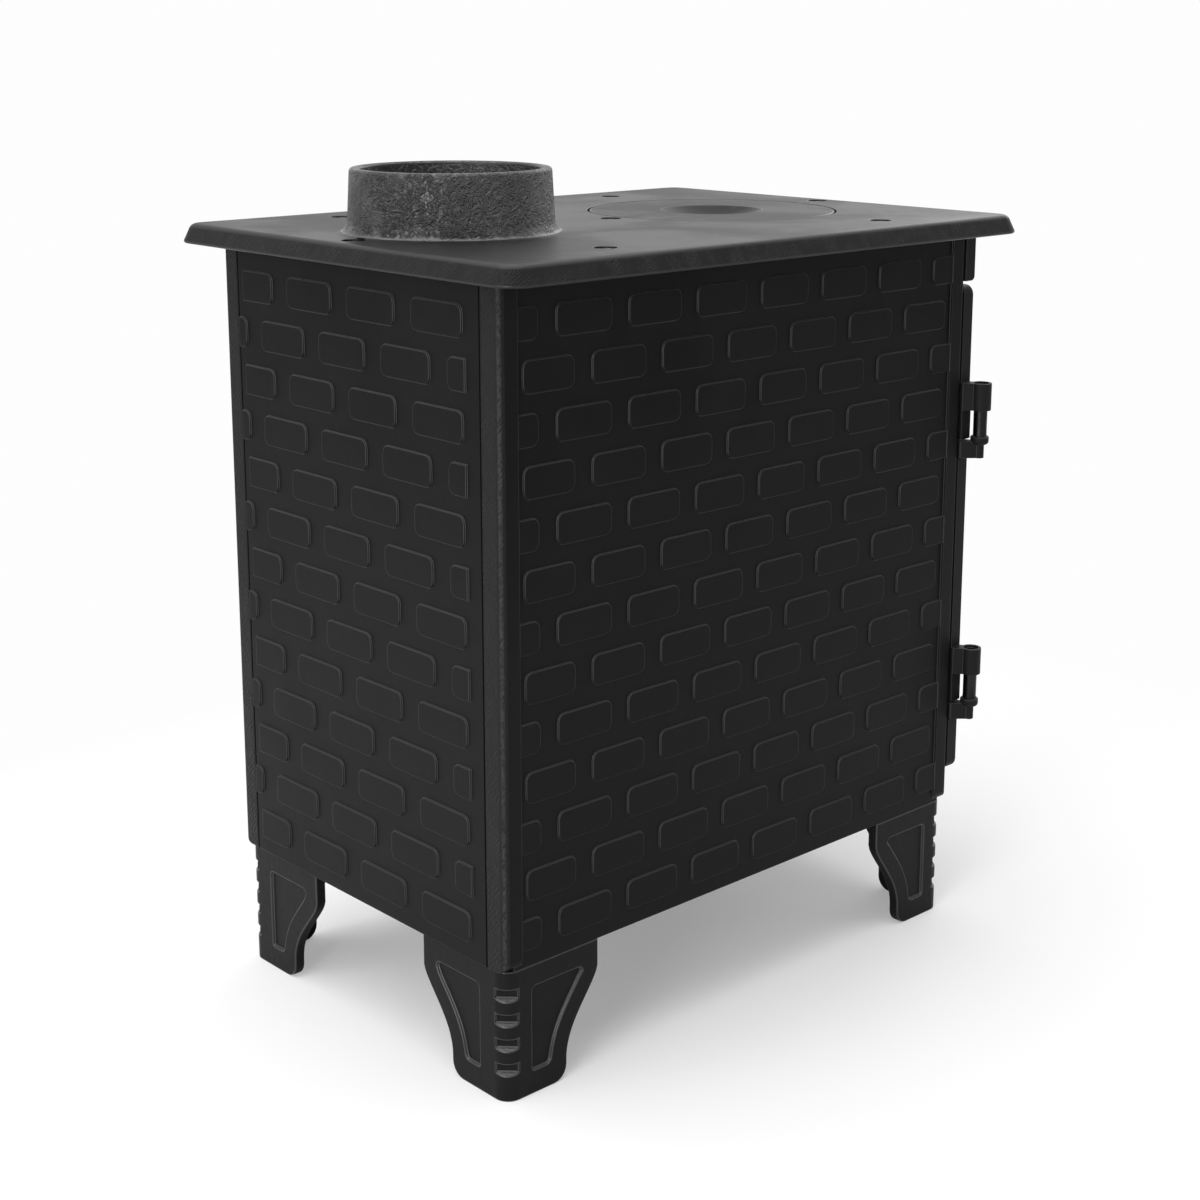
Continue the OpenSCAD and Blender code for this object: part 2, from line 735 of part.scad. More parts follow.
module front_plate() {
    color(iron) placed() difference() {
        union() {
            upright(-inner_y, wall) difference() {
                translate([-plate_half_w, z0]) square([2*plate_half_w, panel_h]);
                polygon(round_rect([-doorway_half_w, doorway_z0], [doorway_half_w, doorway_z1],
                                   doorway_r));
            }
            sideways(-half_w, body_w) polygon(concat(
                [[-half_d, strip_z0], [-half_d, z_plate], [-half_d - strip_t, z_plate]],
                arc([-half_d - strip_t + 4, strip_z0 + 4], 4, 180, 270, 5)));
            mirror([0, 1, 0]) plate_lugs();
            for (z = lug_z) hinge_lug(z);
        }
        mirror([0, 1, 0]) plate_lug_holes();
        translate([0, -screw_front, z_plate - screw_l])
            cylinder(r = screw_r + fit, h = screw_l + over);
        for (z = catch_screw_z) translate([catch_x, -inner_y + over, z]) rotate([90, 0, 0])
            cylinder(r = catch_screw_r + fit, h = wall);
    }
}

// A hinge pin: shouldered below, thinner in the knuckle, with a domed top
module hinge_pin(z) {
    foot = lug_h - cup_down + 1.3;
    shoulder = lug_h + pin_bare;
    color(steel) placed() translate([hinge_x, hinge_y, z]) rotate_extrude() polygon(concat(
        [[0, foot], [pin_r, foot], [pin_r, shoulder], [pin_top_r, shoulder]],
        arc([pin_top_r - 2, shoulder + knuckle_h - 5], 2, 0, 90, 4),
        [[0, shoulder + knuckle_h - 3]]));
}

module hinge_pin_upper() { hinge_pin(lug_z[0]); }
module hinge_pin_lower() { hinge_pin(lug_z[1]); }

// Hexagon-headed bolts through the lugs, their heads towards the middle
module corner_bolts() {
    color(steel) placed() for (sx = [-1, 1], sy = [-1, 1], z = bolt_z)
        translate([sx*(lug_x0 - clear), sy*bolt_y, z]) rotate([0, sx*90, 0])
            hex_bolt(bolt_r, boss_face + bolt_bite - 3 - lug_x0, 7, 5);
}

// ---------- legs ----------

ogee_z0 = 16;       // where the ogee leaves the foot
ogee_bend = 0.75;   // under 1, the ogee narrows faster near its top

// A face of a leg: its upper width, its foot's width, the height at which the ogee
// meets the straight upper edge, and where its recessed panel starts
side_face = [leg_w_side, foot_w_side, leg_h - 21, 25];
end_face = [leg_w_end, foot_w_end, leg_h - 25, 30];

// A point of a face's ogee, t from 0 at the foot to 1 at the top
function ogee(f, t) = [f[0] - (f[0] - f[1])*(1 - cos(180*pow(1 - t, ogee_bend)))/2,
                       ogee_z0 + (f[2] - ogee_z0)*t];

// Outline of a face of a leg
function leg_face(f) = concat(
    [[-over, 0]],
    arc([f[1] - foot_r, foot_r], foot_r, -90, 0, 5),
    [for (i = [0:16]) ogee(f, i/16)],
    [[f[0], leg_h + over], [-over, leg_h + over]]);

// Outline of the recessed panel on that face, which keeps a rim along the ogee
recess_z0 = 18.5;
recess_z1 = leg_h - 17;
recess_rim = 15.5;
recess_r = 4;
function rim_point(f, t) =
    let (d = ogee(f, t + 0.01) - ogee(f, t - 0.01))
    ogee(f, t) + recess_rim*[-d[1], d[0]]/norm(d);
function leg_panel(f) = concat(
    arc([f[3] + recess_r, recess_z1 - recess_r], recess_r, 90, 180, 4),
    arc([f[3] + 2, recess_z0 + 2], 2, 180, 270, 3),
    arc([f[1] - recess_rim - recess_r, recess_z0 + recess_r], recess_r, 270, 360, 4),
    [for (i = [3:13]) rim_point(f, i/16)],
    arc([f[0] - recess_rim - recess_r, recess_z1 - recess_r], recess_r, 0, 90, 4));

leg_bolt_at = 30;       // from the leg's corner, both ways
leg_bolt_r = 5;
leg_bolt_l = 20;
leg_pad_t = 8;          // thickness of the pad that the bolt draws up
leg_pad_w = 54;
leg_pad_end = 20;
notch_down = 14.5;      // from the leg's top to the first notch
notch_floor = 4;        // depth of a notch below the rounded corner
notch_r = 3.5;          // its lower corners
notch_cut = 12;         // how far its cutter runs out

// What a notch takes away: its upper edge at z = 0, its back at x = 0, open towards -X
module notch() {
    fall = notch_slope*notch_cut/(notch_floor + over);
    rotate([90, 0, -90]) intersection() {
        linear_extrude(notch_cut) polygon(concat(
            [[notch_w/2, 0], [-notch_w/2, 0]],
            arc([-notch_w/2 + notch_r, -notch_h + notch_r], notch_r, 180, 270, 4),
            arc([notch_w/2 - notch_r, -notch_h + notch_r], notch_r, 270, 360, 4)));
        translate([-notch_w, 0, 0]) rotate([0, 90, 0]) linear_extrude(2*notch_w) polygon([
            [over, over], [over, notch_slope - notch_h],
            [0, notch_slope - notch_h], [-notch_cut, notch_slope - notch_h - fall],
            [-notch_cut, over]]);
    }
}

// A leg with its corner at the origin, along +X and +Y
module leg_body() {
    apex = leg_r*(sqrt(2) - 1);
    difference() {
        union() {
            intersection() {
                linear_extrude(leg_h) difference() {
                    polygon(concat(arc([leg_r, leg_r], leg_r, 180, 270, 10),
                        [[leg_w_end, 0], [leg_w_end, leg_w_side], [0, leg_w_side]]));
                    polygon(concat(arc([leg_wall + 8, leg_wall + 8], 8, 180, 270, 6),
                        [[leg_w_end + over, leg_wall], [leg_w_end + over, leg_w_side + over],
                         [leg_wall, leg_w_side + over]]));
                }
                translate([0, leg_w_side + over, 0]) rotate([90, 0, 0])
                    linear_extrude(leg_w_side + 2*over) polygon(leg_face(end_face));
                translate([-over, 0, 0]) rotate([90, 0, 90])
                    linear_extrude(leg_w_end + 2*over) polygon(leg_face(side_face));
            }
            translate([leg_wall - 1, leg_wall - 1, leg_h - leg_pad_t]) linear_extrude(leg_pad_t)
                polygon([[0, 0], [leg_pad_w, 0], [leg_pad_w, leg_pad_end],
                         [leg_pad_end, leg_pad_w], [0, leg_pad_w]]);
        }
        translate([0, leg_recess, 0]) rotate([90, 0, 0]) linear_extrude(leg_recess + over)
            polygon(leg_panel(end_face));
        translate([-over, 0, 0]) rotate([90, 0, 90]) linear_extrude(leg_recess + over)
            polygon(leg_panel(side_face));
        rotate([0, 0, 45]) for (i = [0:notch_n - 1])
            translate([apex + notch_floor, 0, leg_h - notch_down - i*notch_pitch]) notch();
        translate([leg_bolt_at, leg_bolt_at, leg_h - 10]) cylinder(r = leg_bolt_r + clear, h = 12);
    }
}

// Moves a leg or its bolt to one corner of the body
module at_corner(sx, sy) {
    placed() mirror([sx > 0 ? 1 : 0, 0, 0]) mirror([0, sy > 0 ? 1 : 0, 0])
        translate([-half_w + leg_inset, -half_d + leg_inset, 0]) children();
}

module leg_front_left() { color(iron) at_corner(-1, -1) leg_body(); }
module leg_front_right() { color(iron) at_corner(1, -1) leg_body(); }
module leg_rear_left() { color(iron) at_corner(-1, 1) leg_body(); }
module leg_rear_right() { color(iron) at_corner(1, 1) leg_body(); }

module leg_bolts() {
    color(steel) for (sx = [-1, 1], sy = [-1, 1]) at_corner(sx, sy)
        translate([leg_bolt_at, leg_bolt_at, leg_h - leg_pad_t - clear])
            hex_bolt(leg_bolt_r, leg_bolt_l, 8.5, 6);
}

// ---------- base, grate and ash pan ----------

pan_z = doorway_z0 + 1.5;       // underside of the ash pan
runner_x = 70;

module base_plate() {
    w = inner_x - clear;
    d = inner_y - clear;
    lug = leg_inset + leg_bolt_at;
    color(iron) placed() difference() {
        union() {
            difference() {
                translate([-w, -d, z0]) cube([2*w, 2*d, floor_t]);
                // Room for the lower ends of the posts and the seal strips
                for (mx = [0, 1], my = [0, 1]) mirror([mx, 0, 0]) mirror([0, my, 0])
                    translate([plate_half_w - seal_lap - 2, half_d - border_w - 2, z0 - over])
                        cube([post_w + seal_lap + 4, border_w, floor_t + 2*over]);
            }
            for (sx = [-1, 1]) translate([sx*runner_x - 4, -d + 14, z0 + 1])
                cube([8, pan_l, pan_z - z0 - 1]);
            for (sx = [-1, 1], sy = [-1, 1])
                translate([sx*(half_w - lug), sy*(half_d - lug), floor_top - 0.01])
                    cylinder(r = 11, h = 8);
        }
        for (sx = [-1, 1], sy = [-1, 1]) {
            translate([sx*(half_w - lug), sy*(half_d - lug), z0 - over])
                cylinder(r = leg_bolt_r + fit, h = floor_t + 8 + 2*over);
            translate([sx*base_bolt_x, sy*base_bolt_y, z0 - over])
                cylinder(r = bolt_r + clear, h = floor_t + 2*over);
        }
    }
}

module base_bolts() {
    color(steel) placed() for (sx = [-1, 1], sy = [-1, 1])
        translate([sx*base_bolt_x, sy*base_bolt_y, z0 - clear]) hex_bolt(bolt_r, base_bolt_l, 7, 5);
}

bed_half_d = inner_y - 5;
bay_half_d = half_d - border_w - clear;     // clear depth between the posts' cores
bay_half_w = half_w - post_w - clear;       // clear width between the posts

// A plate of thickness t from y0 to y1 between the side panels, cut in round the posts
module bay_plate(y0, y1, t) {
    w = inner_x - clear;
    a = max(y0, -bay_half_d);
    b = min(y1, bay_half_d);
    translate([-w, a, 0]) cube([2*w, b - a, t]);
    translate([-bay_half_w, y0, 0]) cube([2*bay_half_w, y1 - y0, t]);
}

grate_y = -20;          // middle of the grate
grate_rebate = 6;       // depth of the grate's seat in its bed
grate_end = 15;         // metal beyond the slots at each end of the grate

module grate_bed() {
    color(iron) placed() difference() {
        translate([0, 0, bed_z]) bay_plate(-bed_half_d, bed_half_d, bed_t);
        translate([-grate_w/2 + 8, grate_y - grate_l/2 + 8, bed_z - over])
            cube([grate_w - 16, grate_l - 16, bed_t + 2*over]);
        translate([-grate_w/2 - 1, grate_y - grate_l/2 - 1, bed_top - grate_rebate])
            cube([grate_w + 2, grate_l + 2, grate_rebate + over]);
    }
}

module fire_grate() {
    pitch = (grate_l - 2*grate_end)/slot_n;
    slot = pitch*0.52;
    z = bed_top - grate_rebate;
    color(iron) placed() difference() {
        union() {
            translate([-grate_w/2, grate_y - grate_l/2, z]) linear_extrude(grate_rebate + 2)
                polygon(round_rect([0, 0], [grate_w, grate_l], 4));
            for (x = [-grate_w/4, grate_w/4]) translate([x - 4, grate_y - grate_l/2 + 10, z - 10])
                cube([8, grate_l - 20, 11]);
        }
        for (i = [0:slot_n - 1], sx = [-1, 1])
            translate([sx*grate_w/4, grate_y - grate_l/2 + grate_end + pitch*(i + 0.5), z - 1])
                linear_extrude(grate_rebate + 4)
                    polygon(round_rect([-grate_w/4 + 12, -slot/2], [grate_w/4 - 7, slot/2],
                                       slot/2 - 0.1, 3));
    }
}

pan_in = 32;                // from the front plate to the ash pan's front
pan_y0 = -inner_y + pan_in;
bow_w = 36;                 // half width of its bow handle
bow_r = 12;                 // bend of the bow's strap
bow_t = 3;                  // thickness of the strap
bow_h = 12;                 // height of the strap
bow_drop = 16;              // from the pan's rim to the strap's lower edge

module ash_pan() {
    color(steel) placed() {
        difference() {
            translate([-pan_w/2, pan_y0, pan_z]) cube([pan_w, pan_l, pan_h]);
            translate([-pan_w/2 + pan_t, pan_y0 + pan_t, pan_z + pan_t])
                cube([pan_w - 2*pan_t, pan_l - 2*pan_t, pan_h]);
        }
        // Bow handle, a flat strap bent round
        translate([0, pan_y0 + 0.5, pan_z + pan_h - bow_drop]) linear_extrude(bow_h) difference() {
            polygon(round_rect([-bow_w, -bow_d - 0.5], [bow_w, bow_d], bow_r));
            polygon(round_rect([-bow_w + bow_t, -bow_d - 0.5 + bow_t], [bow_w - bow_t, bow_d],
                               bow_r - bow_t));
            translate([-bow_w - over, 0]) square([2*bow_w + 2*over, bow_d + over]);
        }
    }
}

// ---------- firebricks, baffle and log guard ----------

brick_gap = 0.6;
side_brick_y0 = -inner_y + 16;
side_brick_y1 = bay_half_d;

module side_firebricks() {
    step = (side_brick_y1 - side_brick_y0)/firebrick_n;
    for (i = [0:firebrick_n - 1])
        translate([-inner_x + clear, side_brick_y0 + i*step, bed_top])
            cube([firebrick_t, step - brick_gap, firebrick_h]);
}

module firebricks_left() { color("tan") placed() side_firebricks(); }
module firebricks_right() { color("tan") placed() mirror([1, 0, 0]) side_firebricks(); }

module firebricks_rear() {
    w = inner_x - clear - firebrick_t - clear;
    color("tan") placed() for (sx = [-1, 1])
        translate([sx < 0 ? -w : brick_gap/2, bed_half_d - firebrick_t, bed_top])
            cube([w - brick_gap/2, firebrick_t, firebrick_h]);
}

module baffle_plate() {
    y0 = -half_d + smoke_gap;
    boss_h = z_lip - clear - baffle_z - baffle_t;
    color(iron) placed() difference() {
        union() {
            translate([0, 0, baffle_z]) bay_plate(y0, bed_half_d, baffle_t);
            translate([0, -centre_y, baffle_z + 1]) cylinder(r = 10, h = boss_h + baffle_t - 1);
            for (a = [0, 90, 180, 270]) translate([0, -centre_y, baffle_z + baffle_t - 1])
                rotate([90, 0, a]) translate([0, 0, -3]) linear_extrude(6)
                    polygon([[0, 0], [30, 0], [9, 34], [0, 34]]);
        }
        translate([0, -centre_y, z_lip - 20]) cylinder(r = screw_r + fit, h = 21);
    }
}

guard_h = 55;           // height of the log guard
guard_t = 5;
guard_n = 7;            // number of its slots
guard_rim = 12;         // metal above and below a slot
guard_bar = 10;         // metal between two slots

module log_guard() {
    half = doorway_half_w - 2;
    pitch = (2*half - guard_bar - 8)/guard_n;
    w = (pitch - guard_bar)/2;
    color(iron) placed() upright(-inner_y + 2*guard_t + clear, guard_t) difference() {
        polygon(round_rect([-half, bed_top], [half, bed_top + guard_h], 6));
        for (i = [0:guard_n - 1]) let (x = (i - (guard_n - 1)/2)*pitch)
            polygon(round_rect([x - w, bed_top + guard_rim],
                               [x + w, bed_top + guard_h - guard_rim], 8, 3));
    }
}

// ---------- door ----------

bead_h = 2;                             // height of the mouldings on the door
bead_w = 12;                            // width of the window's moulding
bead_step = 3;                          // width of a moulding's lower step
edge_w = 14;                            // width of the moulding at the door's edge
slab_t = door_t - bead_h;
slab_face = door_back + slab_t;
rope_r = 3.2;
rope_off = 7;                           // from the doorway's edge to the rope
rope_lo = [-doorway_half_w - rope_off, doorway_z0 - rope_off];
rope_hi = [doorway_half_w + rope_off, doorway_z1 + rope_off];
rope_corner = 14;
rope_y = -half_d - clear - rope_r;
window_w = 2*(door_half_w - window_side);
window_z1 = door_z1 - window_top;
window_z0 = window_z1 - window_h;
glass_lo = [-window_w/2 - glass_lap, window_z0 - glass_lap];
glass_hi = [window_w/2 + glass_lap, window_z1 + glass_lap];
pocket_gap = 0.6;
pocket_t = glass_t + gasket_t;
spindle_x = doorway_half_w - spindle_in;
spindle_z = z0 + spindle_up;
air_z = z0 + air_up;
knuckle_z = [for (z = lug_z) z + lug_h + pin_bare + clear];
notch_clear = 1.3;

// Upper hinge half: an arm down the door's edge that carries the knuckle
module hinge_knuckle(z, lug) {
    difference() {
        union() {
            translate([0, 0, z]) linear_extrude(knuckle_h) hinge_arm(knuckle_r);
            translate([-half_w - 0.5, -door_face, lug + lug_h + notch_clear])
                cube([8, door_t, z + knuckle_h - lug - lug_h - notch_clear]);
        }
        translate([hinge_x, hinge_y, z - over]) cylinder(r = pin_top_r + run, h = knuckle_h + 2*over);
        translate([hinge_x, hinge_y, z + knuckle_h - 2]) cylinder(r = pin_top_r + 1.4, h = 3);
    }
}

module door() {
    w = window_w/2;
    color(iron) placed() difference() {
        union() {
            upright(-door_back, slab_t)
                polygon(round_rect([-door_half_w, door_z0], [door_half_w, door_z1], door_r));
            // Stepped mouldings round the door's edge and round the window
            for (step = [0, 1]) upright(-slab_face + 1, 1 + bead_h*(step + 1)/2) {
                round_frame([-door_half_w, door_z0], [door_half_w, door_z1], door_r,
                            edge_w - step*bead_step);
                round_frame([-w - bead_w + step*bead_step, window_z0 - bead_w + step*bead_step],
                            [w + bead_w - step*bead_step, window_z1 + bead_w - step*bead_step],
                            window_r + bead_w - step*bead_step, bead_w - step*bead_step);
            }
            translate([spindle_x, -slab_face + 1, spindle_z]) rotate([90, 0, 0])
                cylinder(r = 12, h = 1 - boss_y - slab_face);
            translate([0, -slab_face + 1, air_z]) rotate([90, 0, 0])
                cylinder(r = air_r + 4, h = door_face - slab_face + 1, $fn = 72);
            for (i = [0, 1]) hinge_knuckle(knuckle_z[i], lug_z[i]);
        }
        upright(-door_back + over, door_t + 2*over)
            polygon(round_rect([-w, window_z0], [w, window_z1], window_r));
        translate([0, -door_face, 0]) rotate([90, 0, 0])
            frame_sweep([-w, window_z0], [w, window_z1], window_r)
                polygon([[-over, -window_bevel - over], [window_bevel + over, over], [-over, over]]);
        upright(-door_back + over, pocket_t + over)
            polygon(round_rect(glass_lo - [pocket_gap, pocket_gap],
                               glass_hi + [pocket_gap, pocket_gap], 4));
        upright(-door_back + over, 2*rope_r + 2*clear - door_gap + over) difference() {
            polygon(round_rect(rope_lo - [rope_r, rope_r] - [clear, clear],
                               rope_hi + [rope_r, rope_r] + [clear, clear],
                               rope_corner + rope_r + clear));
            polygon(round_rect(rope_lo + [rope_r, rope_r] + [clear, clear],
                               rope_hi - [rope_r, rope_r] - [clear, clear],
                               rope_corner - rope_r - clear));
        }
        // Room for the hinge lugs
        for (z = lug_z) translate([-half_w, -door_face - over, z - notch_clear])
            cube([half_w + hinge_root_x + notch_clear, door_t + 2*over, lug_h + 2*notch_clear]);
        // Spindle and air holes
        translate([spindle_x, -door_back + over, spindle_z]) rotate([90, 0, 0])
            cylinder(r = spindle_r + run, h = door_t + 5);
        for (i = [0:air_n - 1]) rotate_about_air(45 + i*360/air_n)
            translate([air_pitch_r, 0, 0]) rotate([90, 0, 0])
                translate([0, 0, door_back - over]) cylinder(r = air_hole_r, h = door_t + 5);
        translate([0, -door_back + over, air_z]) rotate([90, 0, 0])
            cylinder(r = 3 + fit, h = door_t + 5);
        // Screw holes behind the clips
        for (p = clip_at) translate([p[0], -door_back + over, p[1]]) rotate([90, 0, 0])
            cylinder(r = 2 + fit, h = 8);
    }
}

module rotate_about_air(a) {
    translate([0, 0, air_z]) rotate([0, a, 0]) children();
}

// The rope seal, a round section in the door's groove
module door_rope() {
    color("dimgray") placed() translate([0, rope_y, 0]) rotate([90, 0, 0])
        frame_sweep(rope_lo, rope_hi, rope_corner) circle(r = rope_r, $fn = 24);
}

module door_glass() {
    color([0.2, 0.2, 0.22, 0.6]) placed() upright(-door_back, glass_t)
        polygon(round_rect(glass_lo, glass_hi, 3));
}

module glass_gasket() {
    color("dimgray") placed() upright(-door_back - glass_t, gasket_t)
        round_frame(glass_lo, glass_hi, 3, glass_lap - 2);
}

// Clips on the glass's upper and lower edges, at x and z of their screws
clip_x = window_w/3;
clip_off = 8;           // from the glass's edge to the screw
clip_w = 16;
clip_lap = 15;          // from the screw to the end over the glass
clip_tail = 6;          // from the screw to the other end
clip_t = 2.5;
clip_at = [for (x = [-clip_x, clip_x], z = [glass_lo[1] - clip_off, glass_hi[1] + clip_off]) [x, z]];

module glass_clips() {
    mid = (glass_lo[1] + glass_hi[1])/2;
    color(steel) placed() for (p = clip_at) let (s = p[1] > mid ? -1 : 1)
        upright(-door_back + clip_t, clip_t - 0.02) difference() {
            polygon(round_rect([p[0] - clip_w/2, min(p[1] - s*clip_tail, p[1] + s*clip_lap)],
                               [p[0] + clip_w/2, max(p[1] - s*clip_tail, p[1] + s*clip_lap)],
                               2, 3));
            translate(p) circle(r = 2.3);
        }
}

module clip_screws() {
    color(steel) placed() for (p = clip_at)
        translate([p[0], -door_back + clip_t + 0.02, p[1]]) rotate([-90, 0, 0])
            pan_screw(4, 2.4, 2, 8);
}

// ---------- latch and handle ----------

catch_t = 6;
tongue_t = 6;
tongue_y = -inner_y + catch_t + clear;      // near face of the tongue
boss_y = -door_face - 1;                    // outer face of the spindle boss
catch_x0 = doorway_half_w + 1;
catch_x1 = half_w - post_w - seam - 4.6;

catch_x = (catch_x0 + catch_x1)/2;
catch_screw_z = [spindle_z - 11, spindle_z + 11];
catch_screw_r = 1.8;
catch_sink = 3;         // depth of the recess for a screw's head

module latch_catch() {
    color(iron) placed() difference() {
        translate([catch_x0, -inner_y, spindle_z - 18])
            cube([catch_x1 - catch_x0, catch_t, 36]);
        for (z = catch_screw_z) translate([catch_x, -inner_y - over, z]) rotate([-90, 0, 0]) {
            cylinder(r = catch_screw_r + clear, h = catch_t + 2*over);
            translate([0, 0, over + catch_t - catch_sink]) cylinder(r = 3.6, h = 4);
        }
    }
}

module catch_screws() {
    color(steel) placed() for (z = catch_screw_z)
        translate([catch_x, -inner_y + catch_t - catch_sink, z])
            rotate([-90, 0, 0]) pan_screw(3.2, 2.2, catch_screw_r, 7);
}

hub_r = 11.5;
hub_t = 11;
arm_w = 9;
arm_drop = 31;          // from the spindle to the arm's lower end
tang_r = 3.5;           // the rod inside the grip
thread_r = 4;           // the spindle's threaded end

// Spindle, hub and hanging arm, cast as one
module handle_lever() {
    hub_y = boss_y - clear;
    grip_y = -door_face - handle_reach;
    color(iron) placed() {
        translate([spindle_x, tongue_y, spindle_z]) rotate([90, 0, 0])
            cylinder(r = spindle_r, h = tongue_y - hub_y + 1);
        translate([spindle_x, tongue_y + tongue_t + 8, spindle_z]) rotate([90, 0, 0])
            cylinder(r = thread_r, h = tongue_t + 9);
        translate([spindle_x, hub_y, spindle_z]) rotate([90, 0, 0]) rotate_extrude()
            polygon(concat([[0, 0], [hub_r, 0], [hub_r, hub_t - 3]],
                           arc([hub_r - 3, hub_t - 3], 3, 0, 90, 4), [[0, hub_t]]));
        // Arm out from the hub and down to the grip
        translate([spindle_x - arm_w/2, 0, spindle_z]) rotate([90, 0, 90]) linear_extrude(arm_w)
            polygon([[hub_y - 3, 7], [hub_y - hub_t, 7], [grip_y - 6, 7 - arm_drop],
                     [grip_y - 6, -arm_drop], [grip_y + 6, -arm_drop],
                     [grip_y + 6, 6 - arm_drop], [hub_y - 3, -6]]);
        translate([spindle_x, grip_y, spindle_z - handle_l + 4])
            cylinder(r = tang_r, h = handle_l - 4 - arm_drop + 1);
    }
}

// Turned grip, swelling in the middle
module handle_grip() {
    l = handle_l - arm_drop - 0.5;
    color("saddlebrown") placed()
        translate([spindle_x, -door_face - handle_reach, spindle_z - handle_l]) rotate_extrude()
            polygon(concat([[0, 0], [grip_r*0.55, 0]],
                [for (i = [0:10]) [grip_r*(0.72 + 0.28*sin(18*i)), 2 + (l - 2)*i/10]],
                [[tang_r + fit, l], [tang_r + fit, 4 - fit], [0, 4 - fit]]));
}

module latch_tongue() {
    color(iron) placed() translate([spindle_x, tongue_y + tongue_t, spindle_z])
        rotate([90, 0, 0]) difference() {
            union() {
                cylinder(r = 10, h = tongue_t);
                linear_extrude(tongue_t) polygon(concat([[-6.5, 2], [6.5, 2]],
                    arc([3.5, -tongue_l + 3], 3, 0, -90, 4),
                    arc([-3.5, -tongue_l + 3], 3, -90, -180, 4)));
            }
            translate([0, 0, -over]) cylinder(r = thread_r + fit, h = tongue_t + 2*over);
        }
}

module tongue_nut() {
    color(steel) placed() translate([spindle_x, tongue_y + tongue_t + 6.3, spindle_z])
        rotate([90, 0, 0]) difference() {
            cylinder(r = 7.5, h = 6, $fn = 6);
            translate([0, 0, -over]) cylinder(r = thread_r + fit, h = 8);
        }
}

// ---------- air control ----------

air_y = -door_face - clear;     // back face of the air disc

module air_disc() {
    color(iron) placed() difference() {
        union() {
            translate([0, air_y, air_z]) rotate([90, 0, 0]) rotate_extrude($fn = 72)
                polygon(concat([[0, 0], [air_r, 0]],
                    arc([air_r - 2, air_t - 2], 2, 0, 90, 3), [[10, air_t], [9, air_t + 3], [0, air_t + 3]]));
            // Finger grips
            for (a = [45, 225]) rotate_about_air(a) translate([air_r - 9, air_y - air_t - 6, -4])
                cube([7, 7, 8]);
        }
        for (i = [0:air_n - 1]) rotate_about_air(i*360/air_n)
            translate([air_pitch_r, air_y + over, 0]) rotate([90, 0, 0])
                cylinder(r = air_hole_r, h = air_t + 6);
        translate([0, air_y + over, air_z]) rotate([90, 0, 0]) cylinder(r = 3 + run, h = air_t + 6);
    }
}

module air_screw() {
    color(steel) placed() translate([0, air_y - air_t - 3 - clear, air_z]) rotate([90, 0, 0])
        pan_screw(6, 3, 3, air_t + 3 + 2*clear + door_t - 1);
}

base_plate();
side_panel_left();
side_panel_right();
rear_panel();
front_plate();
top_plate();
top_screws();
hob_lid();
leg_front_left();
leg_front_right();
leg_rear_left();
leg_rear_right();
leg_bolts();
base_bolts();
corner_bolts();
hinge_pin_upper();
hinge_pin_lower();
grate_bed();
fire_grate();
ash_pan();
firebricks_left();
firebricks_right();
firebricks_rear();
baffle_plate();
log_guard();
latch_catch();
catch_screws();
door();
door_rope();
door_glass();
glass_gasket();
glass_clips();
clip_screws();
handle_lever();
handle_grip();
latch_tongue();
tongue_nut();
air_disc();
air_screw();
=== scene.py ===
# Box wood stove in black heat-painted cast iron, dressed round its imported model.
# Every length is in metres. The sections follow the stove as it is put together.

import math

import bpy
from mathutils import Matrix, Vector


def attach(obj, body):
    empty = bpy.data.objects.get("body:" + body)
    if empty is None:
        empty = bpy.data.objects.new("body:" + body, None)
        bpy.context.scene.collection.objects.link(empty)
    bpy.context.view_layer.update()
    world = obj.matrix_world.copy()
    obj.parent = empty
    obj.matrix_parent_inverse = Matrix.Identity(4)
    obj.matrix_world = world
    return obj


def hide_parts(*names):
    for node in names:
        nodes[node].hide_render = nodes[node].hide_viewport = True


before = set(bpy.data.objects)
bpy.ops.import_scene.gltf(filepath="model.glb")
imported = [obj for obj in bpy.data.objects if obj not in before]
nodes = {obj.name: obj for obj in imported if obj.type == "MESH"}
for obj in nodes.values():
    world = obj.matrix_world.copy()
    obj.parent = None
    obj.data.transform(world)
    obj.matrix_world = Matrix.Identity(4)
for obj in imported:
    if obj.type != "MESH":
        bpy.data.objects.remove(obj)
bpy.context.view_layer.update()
scene = bpy.context.scene
mm = 0.001

# ---------------------------------------------------------------- studio
# The camera stands behind the stove's rear left corner, a little over the
# top plate, as in the photograph. The floor is white. Large soft lamps stand
# overhead and to the left of the camera, and a weak one before the door.

photo_side = 1200
focal_px = 2010.5           # focal length in pixels of the photograph
centre_row = 456            # image row of the optical axis
camera_at = Vector((-1.1759, 1.1048, 0.7567))
camera_yaw = math.radians(47.41)
camera_pitch = math.radians(12.04)

camera_data = bpy.data.cameras.new("camera")
camera_data.sensor_width = 36
camera_data.lens = camera_data.sensor_width*focal_px/photo_side
camera_data.shift_y = (centre_row - photo_side/2)/photo_side
camera = bpy.data.objects.new("camera", camera_data)
scene.collection.objects.link(camera)
camera.location = camera_at
looking = Vector((math.sin(camera_yaw)*math.cos(camera_pitch),
                  -math.cos(camera_yaw)*math.cos(camera_pitch),
                  -math.sin(camera_pitch)))
camera.rotation_euler = looking.to_track_quat("-Z", "Y").to_euler()
scene.camera = camera
scene.view_settings.view_transform = "Standard"


